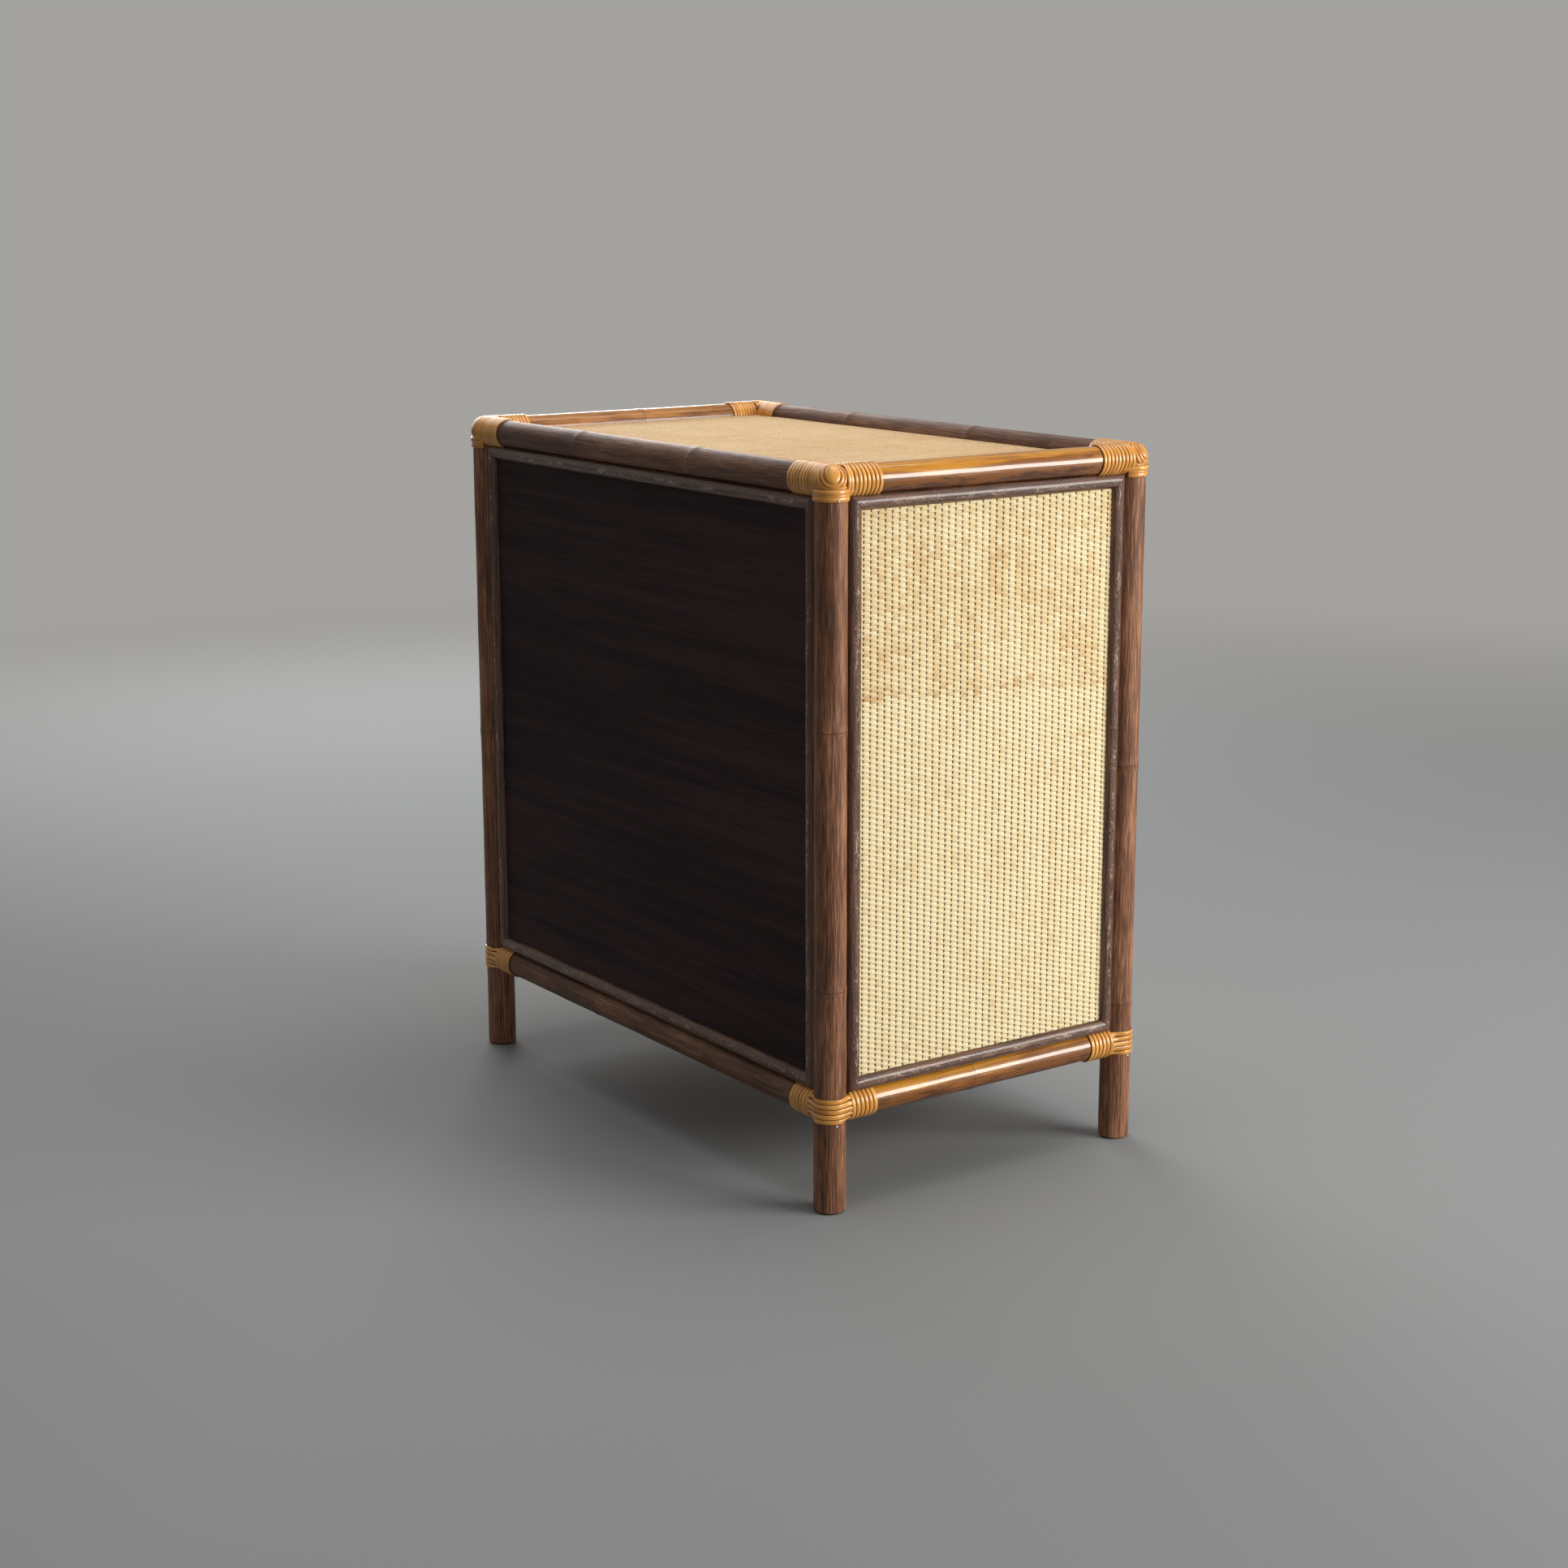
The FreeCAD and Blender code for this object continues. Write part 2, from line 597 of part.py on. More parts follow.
# ------------------------------------------------------------------------ assembly
def build():
    """Every node of the table, by name."""
    nodes = {}
    for corner in CORNERS:
        nodes["post_" + corner] = at_corner(post(), corner)
    for level in RAIL_LEVELS:
        for wall in WALLS:
            nodes["rail_" + level + "_" + wall] = rail(wall, level)
    top_joint = coils("top") + [upper_cap()]
    bottom_joint = coils("bottom") + [lower_band()]
    for name, pieces in (("bindings_top", top_joint), ("bindings_bottom", bottom_joint)):
        joint = Part.makeCompound(pieces)
        nodes[name] = Part.makeCompound([at_corner(joint, corner) for corner in CORNERS])
    for wall in ("left", "right"):
        nodes["end_panel_" + wall] = wall_board(wall)
        nodes["end_webbing_" + wall] = end_webbing(wall)
        nodes["end_beading_" + wall] = wall_beading(wall, WEBBING_OUT)
    nodes["back_panel"] = wall_board("back")
    nodes["back_beading"] = wall_beading("back", PANEL_OUT)
    nodes["batten_back_left"] = corner_batten("back_left")
    nodes["batten_back_right"] = corner_batten("back_right")
    nodes["jamb_latch_side"] = corner_batten("front_left")
    nodes["jamb_hinge_side"] = corner_batten("front_right")
    nodes["top_cleats"] = top_cleats()
    nodes["shelf_cleats"] = shelf_cleats()
    nodes["floor_board"] = inner_board(STOP_FACE, FLOOR_UNDER, FLOOR_UPPER)
    nodes["shelf"] = inner_board(SHELF_SETBACK, SHELF_Z - SHELF_T, SHELF_Z)
    nodes["top_board"] = top_layer(TOP_BOARD_UNDER, TOP_BOARD_UPPER)
    nodes["top_webbing"] = top_layer(TOP_BOARD_UPPER, TOP_BOARD_UPPER + TOP_MESH_T)
    nodes["door_panel"] = door_panel()
    nodes["door_webbing"] = door_webbing()
    nodes["door_beading"] = door_beading()
    nodes["door_knob"] = knob()
    nodes["knob_screw"] = knob_screw()
    nodes["hinge_jamb_leaves"] = on_pivot(hinge_leaf(True))
    nodes["hinge_door_leaves"] = on_pivot(hinge_leaf(False))
    nodes["hinge_pins"] = on_pivot(hinge_pin())
    nodes["catch_case"] = catch_case()
    nodes["catch_magnet"] = catch_magnet()
    nodes["catch_strike"] = catch_strike()
    return nodes


def main():
    """Write one STEP file for each node."""
    os.makedirs("parts", exist_ok=True)
    for name, shape in build().items():
        shape.exportStep(os.path.join("parts", name + ".step"))


main()
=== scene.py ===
"""Looks of a storage side table in bound cane.

Round poles, corner joints bound with flat strand, woven end panels, a stained board at the
back, a woven top set down between the upper rails and a hinged front door, dressed around the
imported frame.  Metres, +Z up, the origin on the floor midway between the four posts.
"""

import json
import logging
import math
import random
from dataclasses import dataclass
from enum import Enum
from typing import Callable, Dict, List, Optional, Sequence, Tuple, Union

import bmesh
import bpy
from mathutils import Matrix, Vector, noise

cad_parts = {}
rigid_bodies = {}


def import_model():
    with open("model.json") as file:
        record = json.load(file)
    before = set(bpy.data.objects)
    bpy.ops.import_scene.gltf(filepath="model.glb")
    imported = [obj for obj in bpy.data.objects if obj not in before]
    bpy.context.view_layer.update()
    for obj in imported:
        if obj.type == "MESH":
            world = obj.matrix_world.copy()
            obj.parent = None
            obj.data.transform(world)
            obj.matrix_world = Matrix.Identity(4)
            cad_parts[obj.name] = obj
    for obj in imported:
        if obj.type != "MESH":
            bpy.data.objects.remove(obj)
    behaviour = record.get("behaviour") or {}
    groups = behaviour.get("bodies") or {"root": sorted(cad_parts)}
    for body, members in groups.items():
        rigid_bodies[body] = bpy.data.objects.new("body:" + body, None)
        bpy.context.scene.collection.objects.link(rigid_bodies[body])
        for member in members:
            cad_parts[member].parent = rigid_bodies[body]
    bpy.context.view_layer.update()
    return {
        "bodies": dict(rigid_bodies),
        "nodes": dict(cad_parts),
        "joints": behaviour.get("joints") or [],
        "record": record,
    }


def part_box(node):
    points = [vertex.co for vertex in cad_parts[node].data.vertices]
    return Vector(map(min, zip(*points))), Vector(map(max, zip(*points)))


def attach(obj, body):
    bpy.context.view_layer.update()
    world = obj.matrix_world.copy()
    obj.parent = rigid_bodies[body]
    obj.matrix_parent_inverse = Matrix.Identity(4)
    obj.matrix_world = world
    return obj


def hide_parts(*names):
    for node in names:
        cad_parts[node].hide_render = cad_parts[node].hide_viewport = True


LOG = logging.getLogger("side_table")
MM = 0.001
Colour = Tuple[float, float, float]
Place = Tuple[float, float, float]
Fineness = Tuple[float, float]
Outline = Sequence[Tuple[float, float]]
Sides = Tuple[float, float, float, float]


class Axis(Enum):
    """The way that a pole, a bead or the grain of a board runs."""

    X = 0
    Y = 1
    Z = 2

    def way(self) -> Vector:
        """Its direction, one metre long."""
        return Vector([1.0 if index == self.value else 0.0 for index in range(3)])


class Body(Enum):
    """What a piece moves with."""

    CARCASS = "carcass"
    DOOR = "door"


class Level(Enum):
    """The two heights at which rails are bound to the posts."""

    TOP = "top"
    BOTTOM = "bottom"


class Wall(Enum):
    """The four sides, as quarter turns from the front."""

    FRONT = 0
    RIGHT = 1
    BACK = 2
    LEFT = 3


CORNERS: Dict[str, Tuple[int, int]] = {
    "front_left": (-1, -1),
    "front_right": (1, -1),
    "back_left": (-1, 1),
    "back_right": (1, 1),
}


# ------------------------------------------------------------------------- materials
class Value:
    """A number that varies over a surface.  Arithmetic on it adds Math nodes."""

    def __init__(self, tree: "Tree", socket: bpy.types.NodeSocket) -> None:
        """Wraps an output socket of the tree."""
        self.tree = tree
        self.socket = socket

    def _math(self, operation: str, first: "Number", second: "Number" = 0.0) -> "Value":
        """Adds a Math node.

        Args:
            operation: the Math node's operation.
            first: its first value.
            second: its second value, where it has one.

        Returns:
            The node's result.
        """
        node = self.tree.node("ShaderNodeMath", {"operation": operation}, {0: first, 1: second})
        return Value(self.tree, node.outputs[0])

    def __add__(self, other: "Number") -> "Value":
        """Sum."""
        return self._math("ADD", self, other)

    __radd__ = __add__

    def __sub__(self, other: "Number") -> "Value":
        """Difference."""
        return self._math("SUBTRACT", self, other)

    def __rsub__(self, other: "Number") -> "Value":
        """Difference, the other way round."""
        return self._math("SUBTRACT", other, self)

    def __mul__(self, other: "Number") -> "Value":
        """Product."""
        return self._math("MULTIPLY", self, other)

    __rmul__ = __mul__

    def __pow__(self, other: "Number") -> "Value":
        """Power."""
        return self._math("POWER", self, other)

    def __mod__(self, other: "Number") -> "Value":
        """Remainder, never negative."""
        return self._math("FLOORED_MODULO", self, other)

    def __abs__(self) -> "Value":
        """Size without sign."""
        return self._math("ABSOLUTE", self)

    def floor(self) -> "Value":
        """The whole number below."""
        return self._math("FLOOR", self)

    def either(self, other: "Number") -> "Value":
        """The larger of the two."""
        return self._math("MAXIMUM", self, other)

    def step(self, low: float, high: float) -> "Value":
        """A smooth step.

        Args:
            low: where the result is 0.
            high: where the result is 1; it may lie below low.

        Returns:
            The step, between 0 and 1.
        """
        node = self.tree.node(
            "ShaderNodeMapRange",
            {"interpolation_type": "SMOOTHSTEP"},
            {"Value": self, "From Min": low, "From Max": high},
        )
        return Value(self.tree, node.outputs[0])


Number = Union[float, Value]
Input = Union[float, Sequence[float], Value, bpy.types.NodeSocket]


class Tree:
    """A node tree, emptied and built anew."""

    def __init__(self, owner: Union[bpy.types.Material, bpy.types.World]) -> None:
        """Takes a tree over and empties it.

        Args:
            owner: a material or a world.
        """
        owner.use_nodes = True
        self.tree = owner.node_tree
        self.tree.nodes.clear()

    def node(
        self,
        kind: str,
        settings: Optional[Dict[str, object]] = None,
        inputs: Optional[Dict[Union[int, str], Input]] = None,
    ) -> bpy.types.Node:
        """Adds a node.

        Args:
            kind: the node's type.
            settings: what is set on the node itself, before its sockets.
            inputs: a value or a link for each socket, by name or number.

        Returns:
            The node.
        """
        node = self.tree.nodes.new(kind)
        for key, value in (settings or {}).items():
            setattr(node, key, value)
        for key, value in (inputs or {}).items():
            self.feed(node.inputs[key], value)
        return node

    def feed(self, socket: bpy.types.NodeSocket, value: Input) -> None:
        """Sets a socket to a constant, or links it.

        Args:
            socket: of a node in this tree.
            value: a constant, a varying value or another node's output.
        """
        if isinstance(value, Value):
            self.tree.links.new(value.socket, socket)
        elif isinstance(value, bpy.types.NodeSocket):
            self.tree.links.new(value, socket)
        elif socket.type == "RGBA":
            socket.default_value = (*value, 1.0)
        else:
            socket.default_value = value


class Paint(Tree):
    """One material's node tree, ending in a Principled shader."""

    def __init__(self, name: str) -> None:
        """Makes a material with an untouched shader.

        Args:
            name: of the material.
        """
        self.material = bpy.data.materials.new(name)
        super().__init__(self.material)
        self.shader = self.node("ShaderNodeBsdfPrincipled")
        self.output = self.node("ShaderNodeOutputMaterial", {}, {0: self.shader.outputs[0]})

    def place(self, scale: Place = (1.0, 1.0, 1.0)) -> bpy.types.NodeSocket:
        """Object coordinates.

        Args:
            scale: how much finer than a metre the pattern runs along each axis.

        Returns:
            The scaled coordinates.
        """
        coordinates = self.node("ShaderNodeTexCoord").outputs["Object"]
        return self.node("ShaderNodeMapping", {}, {"Vector": coordinates, "Scale": scale}).outputs[0]

    def axes(self, vector: bpy.types.NodeSocket) -> Tuple[Value, Value, Value]:
        """The three parts of a vector."""
        node = self.node("ShaderNodeSeparateXYZ", {}, {0: vector})
        return tuple(Value(self, output) for output in node.outputs)

    def vector(self, x: Number, y: Number, z: Number = 0.0) -> bpy.types.NodeSocket:
        """A vector from its three parts."""
        return self.node("ShaderNodeCombineXYZ", {}, {0: x, 1: y, 2: z}).outputs[0]

    def marks(self, *names: str) -> List[Value]:
        """The numbers that the mesh carries at its vertices under these names."""
        nodes = [self.node("ShaderNodeAttribute", {"attribute_name": name}) for name in names]
        return [Value(self, node.outputs["Fac"]) for node in nodes]

    def noise(self, vector: bpy.types.NodeSocket, detail: float = 2.0, rough: float = 0.5) -> Value:
        """Cloudy noise.

        Args:
            vector: where it is read, already scaled.
            detail: how many finer layers it has.
            rough: how strong these are.

        Returns:
            The noise, about 0.25 to 0.75.
        """
        inputs = {"Vector": vector, "Scale": 1.0, "Detail": detail, "Roughness": rough}
        return Value(self, self.node("ShaderNodeTexNoise", {}, inputs).outputs["Fac"])

    def solid(self, scale: Place, detail: float = 2.0, rough: float = 0.5) -> Value:
        """Cloudy noise that goes right through a piece.

        Args:
            scale: how much finer than a metre it runs along each axis.
            detail: how many finer layers it has.
            rough: how strong these are.

        Returns:
            The noise, about 0.25 to 0.75.
        """
        return self.noise(self.place(scale), detail, rough)

    def dice(self, vector: bpy.types.NodeSocket) -> Value:
        """A number from 0 to 1 that is unrelated from one place to the next."""
        return Value(self, self.node("ShaderNodeTexWhiteNoise", {}, {"Vector": vector}).outputs["Value"])

    def mix(self, mask: Number, first: Input, second: Input) -> bpy.types.NodeSocket:
        """A colour between two.

        Args:
            mask: 0 for the first colour, 1 for the second.
            first: a colour.
            second: a colour.

        Returns:
            The mixed colour.
        """
        settings = {"data_type": "RGBA", "clamp_factor": True}
        return self.node("ShaderNodeMix", settings, {0: mask, 6: first, 7: second}).outputs[2]

    def bump(self, height: Value, depth: float, strength: float = 1.0) -> bpy.types.NodeSocket:
        """A normal.

        Args:
            height: relief from 0 to 1.
            depth: the real height of a relief of 1.
            strength: how much of it shows.

        Returns:
            The bent normal.
        """
        inputs = {"Strength": strength, "Distance": depth, "Height": height}
        return self.node("ShaderNodeBump", {}, inputs).outputs[0]

    def finish(self, **sockets: Input) -> bpy.types.Material:
        """Sets the shader's own sockets.

        Args:
            sockets: a constant or a varying input for each, with _ for the spaces in its name.

        Returns:
            The finished material.
        """
        for name, value in sockets.items():
            self.feed(self.shader.inputs[name.replace("_", " ")], value)
        return self.material


def along(axis: Axis, fineness: Fineness) -> Place:
    """Scales for a grain that runs along an axis.

    Args:
        axis: the way that the grain runs.
        fineness: how fine it is across and along.

    Returns:
        The scales on X, Y and Z.
    """
    across, lengthwise = fineness
    return tuple(lengthwise if index == axis.value else across for index in range(3))


@dataclass(frozen=True)
class PoleFinish:
    """Smoked cane pole, from dark fibrous brown to glossy amber, with a ring at each knuckle; on amber poles
    the upper side is painted lighter and the underside darker, as painted light.
    """

    axis: Axis
    wax: float = 0.0
    dark: Colour = (0.048, 0.019, 0.010)
    brown: Colour = (0.30, 0.122, 0.056)
    pale: Colour = (0.53, 0.285, 0.160)
    scorch: Colour = (0.060, 0.021, 0.007)
    rust: Colour = (0.23, 0.075, 0.009)
    amber: Colour = (0.56, 0.23, 0.010)
    fibre_size: Fineness = (1050.0, 40.0)
    strip_size: Fineness = (330.0, 12.0)
    cloud_size: Fineness = (60.0, 13.0)
    burn_size: Fineness = (170.0, 34.0)
    relief: float = 1.2 * MM
    waxed_relief: float = 0.3 * MM

    def make(self) -> bpy.types.Material:
        """Mixes the finish for poles that run along the axis.

        Returns:
            The material.
        """
        paint = Paint("smoked_pole_" + self.axis.name.lower())
        tone, knuckle, crown = paint.marks("tone", "knuckle", "crown")
        fibre = paint.solid(along(self.axis, self.fibre_size), 3.0, 0.7)
        strips = paint.solid(along(self.axis, self.strip_size), 3.0, 0.65)
        clouds = paint.solid(along(self.axis, self.cloud_size), 3.0, 0.6)
        burn = paint.solid(along(self.axis, self.burn_size), 4.0, 0.7)
        grain = fibre * 0.62 + strips * 0.38
        smoked = paint.mix((grain * 0.75 + clouds * 0.25).step(0.36, 0.60), self.dark, self.brown)
        rubbed = fibre * 0.55 + clouds * 0.25 + strips * 0.2
        smoked = paint.mix(rubbed.step(0.49, 0.66) * 0.8, smoked, self.pale)
        smoked = paint.mix(tone.step(0.0, -1.0), smoked, self.dark)
        # Painted light: the crown mark says how far the surface faces up. It turns a rail's upper side more
        # amber and its underside more scorched. This is partly painted light from above and shade below, and
        # partly the cane's own burn marks.
        upper = crown * 0.16 + clouds * 0.5 + strips * 0.5
        amber_with_painted_light = paint.mix(upper.step(0.50, 0.68), self.rust, self.amber)
        amber_with_painted_light = paint.mix(fibre.step(0.54, 0.70) * 0.6, amber_with_painted_light, self.rust)
        amber_with_painted_light = paint.mix((burn - crown * 0.15).step(0.50, 0.66) * 0.85, amber_with_painted_light, self.scorch)
        colour = paint.mix(tone, smoked, amber_with_painted_light)
        colour = paint.mix(knuckle.step(0.35, 1.0) * 0.6, colour, self.scorch)
        waxed = tone.step(0.0, 1.0)
        relief = self.relief + (self.waxed_relief - self.relief) * self.wax
        return paint.finish(
            Base_Color=colour,
            Roughness=(0.5 - waxed * 0.24) + grain * 0.16,
            Coat_Weight=waxed * 0.7 + 0.2,
            Coat_Roughness=0.34 - 0.26 * self.wax,
            Specular_IOR_Level=0.3,
            Normal=paint.bump(grain + burn * 0.3, relief, 0.8),
        )


@dataclass(frozen=True)
class StrandFinish:
    """Split cane strand with its shiny bark outwards; its edges are darkened as painted shade in the gaps
    between neighbouring strands.
    """

    honey: Colour = (0.71, 0.28, 0.036)
    straw: Colour = (0.87, 0.43, 0.093)
    tan: Colour = (0.38, 0.13, 0.017)
    edge: Colour = (0.050, 0.017, 0.005)
    relief: float = 0.25 * MM

    def make(self) -> bpy.types.Material:
        """Mixes the finish; it follows the strand by its along, across and tone marks.

        Returns:
            The material.
        """
        paint = Paint("bark_strand")
        length, across, tone = paint.marks("along", "across", "tone")
        fibre = paint.noise(paint.vector(length * 26.0, across * 1.3, tone * 97.0), 3.0, 0.5)
        stain = paint.noise(paint.vector(length * 38.0, across * 0.7, tone * 31.0), 3.0, 0.6)
        colour = paint.mix((fibre * 0.5 + tone * 0.3 + 0.1).step(0.25, 0.75), self.honey, self.straw)
        colour = paint.mix(stain.step(0.46, 0.7) * 0.65, colour, self.tan)
        # Painted shade: the strand's edges are darkened for the shade in the gaps between neighbouring
        # strands.
        colour = paint.mix(abs(across).step(0.76, 1.0) * 0.92, colour, self.edge)
        return paint.finish(
            Base_Color=colour,
            Roughness=fibre * 0.2 + 0.24,
            Coat_Weight=0.45,
            Coat_Roughness=0.12,
            Normal=paint.bump(fibre, self.relief, 0.5),
        )


@dataclass(frozen=True)
class WeaveFinish:
    """Close weave of straw-coloured weft over hidden warps."""

    pale: Colour = (0.90, 0.77, 0.48)
    straw: Colour = (0.80, 0.60, 0.31)
    rust: Colour = (0.60, 0.34, 0.14)
    shade: Colour = (0.26, 0.15, 0.06)
    gap: Colour = (0.045, 0.024, 0.010)
    faded_below: float = 0.406
    line_slope: float = 0.044
    line_edge: float = 1.0 * MM
    line_core: float = 3.0 * MM
    line_end: float = 18.0 * MM
    relief: float = 0.8 * MM

    def make(self) -> bpy.types.Material:
        """Mixes the finish; it follows the weave by its column and course marks.

        Returns:
            The material.
        """
        paint = Paint("straw_weave")
        column_place, course = paint.marks("column", "course")
        column = column_place.floor()
        within = column_place - column
        odd = column % 2.0
        shifted = course + odd * 0.5
        row = shifted.floor()
        lift = shifted - row
        weft = row * 2.0 + odd
        between = 0.5 - abs(lift - 0.5)
        strand = paint.noise(paint.vector(column_place * 0.11, weft * 0.62), 4.0, 0.75)
        drift = paint.noise(paint.vector(column * 0.43, course * 0.035), 2.0, 0.6)
        clouds = paint.solid((9.0, 9.0, 14.0), 2.0, 0.5)
        fibre = paint.noise(paint.vector(column_place * 1.6, shifted * 7.0), 2.0, 0.7)
        loose = paint.dice(paint.vector(row, column))
        _, depth, height = paint.axes(paint.place())
        over_line = height - self.faded_below - depth * self.line_slope
        wavering = over_line + (drift - 0.5) * 0.007 + (strand - 0.5) * 0.006
        line = wavering.step(-self.line_edge, self.line_core) * wavering.step(self.line_end, self.line_core)
        above = wavering.step(-2.0 * self.line_edge, 2.0 * self.line_edge)
        warmth = strand * 0.75 + drift * 0.3 + clouds * 0.25 + above * 0.10 + loose * 0.10
        colour = paint.mix(warmth.step(0.62, 0.95), self.pale, self.straw)
        colour = paint.mix((warmth + line * 0.14 + fibre * 0.12).step(0.88, 1.14) * 0.75, colour, self.rust)
        colour = paint.mix(fibre.step(0.55, 0.85) * 0.2, colour, self.shade)
        groove = between.step(0.15, 0.0) * within.step(0.1, 0.85)
        colour = paint.mix(groove * 0.62, colour, self.shade)
        # Painted shade: the short slots beside each bump, where the weft dives under the warp, are coloured
        # near black for the shade deep in them; the relief drops there too.
        right = within.step(0.80, 0.93) * (1.0 - abs(lift - 0.7).step(0.24, 0.40))
        left = within.step(0.10, 0.02) * (1.0 - abs(lift - 0.2).step(0.24, 0.40))
        slot = (right + left) * (0.6 + drift * 0.8)
        colour = paint.mix(slot * 0.95, colour, self.gap)
        relief = (1.0 - slot) * (0.5 + between.step(0.0, 0.3) * 0.5) + fibre * 0.12
        return paint.finish(
            Base_Color=colour,
            Roughness=0.62 + fibre * 0.2,
            Specular_IOR_Level=0.35,
            Normal=paint.bump(relief, self.relief, 0.6),
        )


@dataclass(frozen=True)
class ClothFinish:
    """Fine woven fibre cloth, its threads a pitch apart."""

    pitch: float
    sand: Colour = (0.64, 0.40, 0.19)
    light: Colour = (0.80, 0.58, 0.33)
    dark: Colour = (0.30, 0.155, 0.06)
    cloud_size: Place = (16.0, 16.0, 1.0)
    fleck_size: Place = (560.0, 420.0, 1.0)
    relief: float = 0.3 * MM

    def make(self) -> bpy.types.Material:
        """Mixes the finish: single threads, slubs and small dark flecks.

        Returns:
            The material.
        """
        paint = Paint("fibre_cloth")
        fine = 1.0 / self.pitch
        x, y, _ = paint.axes(paint.place((fine, fine, fine)))
        thread_x = paint.dice(paint.vector(x.floor(), 3.0))
        thread_y = paint.dice(paint.vector(7.0, y.floor()))
        slub_x = paint.noise(paint.vector(x.floor() * 1.7, y * 0.3), 2.0, 0.6)
        slub_y = paint.noise(paint.vector(x * 0.3, y.floor() * 1.7, 5.0), 2.0, 0.6)
        over = (x.floor() + y.floor()) % 2.0
        clouds = paint.solid(self.cloud_size, 3.0, 0.6)
        flecks = paint.solid(self.fleck_size, 3.0, 0.75)
        first = slub_x * 0.85 + thread_x * 0.15
        second = slub_y * 0.85 + thread_y * 0.15
        thread = first * over + second * (1.0 - over)
        colour = paint.mix((thread * 0.7 + clouds * 0.3).step(0.36, 0.62), self.sand, self.light)
        colour = paint.mix(flecks.step(0.54, 0.70) * 0.8, colour, self.dark)
        side_x = 0.5 - abs(x - x.floor() - 0.5)
        side_y = 0.5 - abs(y - y.floor() - 0.5)
        # Painted shade: the small hollows where threads cross are darkened for the shade in them.
        pit_shade = side_x.step(0.24, 0.0) * side_y.step(0.24, 0.0)
        colour = paint.mix(pit_shade * 0.6, colour, self.dark)
        relief = side_x.step(0.0, 0.4) * side_y.step(0.0, 0.4)
        return paint.finish(
            Base_Color=colour,
            Roughness=0.74 + thread * 0.12,
            Specular_IOR_Level=0.3,
            Normal=paint.bump(relief + flecks * 0.3, self.relief, 0.5),
        )


@dataclass(frozen=True)
class BeadFinish:
    """Split pole beading, smoked dark, with pale chips along the crest: partly bark rubbed pale, partly
    painted glints of the crest's highlight.
    """

    dark: Colour = (0.040, 0.016, 0.009)
    brown: Colour = (0.19, 0.083, 0.045)
    glint_and_wear_colour: Colour = (0.58, 0.43, 0.33)
    relief: float = 0.9 * MM

    def make(self) -> bpy.types.Material:
        """Mixes the finish; it follows the bead by its along and across marks.

        Returns:
            The material.
        """
        paint = Paint("smoked_bead")
        length, across, tone = paint.marks("along", "across", "tone")
        fibre = paint.noise(paint.vector(length * 22.0, across * 9.0, tone * 41.0), 3.0, 0.65)
        patch = paint.noise(paint.vector(length * 60.0, across * 1.3, tone * 67.0), 3.0, 0.6)
        chips = paint.noise(paint.vector(length * 330.0, across * 5.5, tone * 23.0), 2.0, 0.65)
        # Painted highlight: pale chips near the crest, a little off its middle. They are partly bark rubbed
        # pale and partly painted glints where the crest catches the light.
        crest = abs(across - 0.12).step(0.85, 0.1)
        colour = paint.mix(fibre.step(0.36, 0.66), self.dark, self.brown)
        glint_and_wear_mask = (chips * 0.5 + patch * 0.5 + crest * 0.08).step(0.59, 0.71)
        colour = paint.mix(glint_and_wear_mask * crest * 0.75, colour, self.glint_and_wear_colour)
        return paint.finish(
            Base_Color=colour,
            Roughness=0.34 + fibre * 0.2 + glint_and_wear_mask * 0.10,
            Coat_Weight=0.5,
            Coat_Roughness=0.15,
            Specular_IOR_Level=0.4,
            Normal=paint.bump(fibre * 0.5 + chips * 1.2, self.relief, 0.8),
        )


@dataclass(frozen=True)
class BoardFinish:
    """Wood board with open grain; the grain runs along an axis."""

    name: str
    axis: Axis
    dark: Colour
    light: Colour
    pore: Colour
    roughness: float = 0.5
    figure: float = 1.0
    shine: float = 0.4
    warp_size: Fineness = (7.0, 1.6)
    ring_size: Fineness = (70.0, 3.0)
    fibre_size: Fineness = (620.0, 9.0)
    pore_size: Fineness = (1100.0, 30.0)
    relief: float = 0.3 * MM

    def make(self) -> bpy.types.Material:
        """Mixes the finish.

        Returns:
            The material.
        """
        paint = Paint(self.name)
        warp = paint.solid(along(self.axis, self.warp_size), 2.0, 0.5)
        rings = paint.solid(along(self.axis, self.ring_size), 3.0, 0.6)
        fibre = paint.solid(along(self.axis, self.fibre_size), 3.0, 0.6)
        pores = paint.solid(along(self.axis, self.pore_size), 1.0, 0.4)
        grain = rings * 0.5 + fibre * 0.3 + warp * 0.4 * self.figure
        colour = paint.mix(grain.step(0.48, 0.74), self.dark, self.light)
        colour = paint.mix(pores.step(0.60, 0.72) * 0.6, colour, self.pore)
        return paint.finish(
            Base_Color=colour,
            Roughness=self.roughness + fibre * 0.2,
            Specular_IOR_Level=self.shine,
            Normal=paint.bump(fibre * 0.5 - pores * 0.5, self.relief, 0.5),
        )


@dataclass(frozen=True)
class KnobFinish:
    """Turned hardwood, dark, rubbed to a shine."""

    dark: Colour = (0.05, 0.022, 0.014)
    brown: Colour = (0.20, 0.085, 0.042)
    fibre_size: Fineness = (520.0, 70.0)
    cloud_size: Place = (120.0, 60.0, 50.0)
    relief: float = 0.12 * MM

    def make(self) -> bpy.types.Material:
        """Mixes the finish, with its grain along the knob's own axis.

        Returns:
            The material.
        """
        paint = Paint("turned_hardwood")
        fibre = paint.solid(along(Axis.Y, self.fibre_size), 3.0, 0.6)
        clouds = paint.solid(self.cloud_size, 2.0, 0.5)
        colour = paint.mix((fibre * 0.6 + clouds * 0.4).step(0.38, 0.64), self.dark, self.brown)
        return paint.finish(
            Base_Color=colour,
            Roughness=0.24 + fibre * 0.16,
            Coat_Weight=0.4,
            Coat_Roughness=0.12,
            Normal=paint.bump(fibre, self.relief, 0.5),
        )


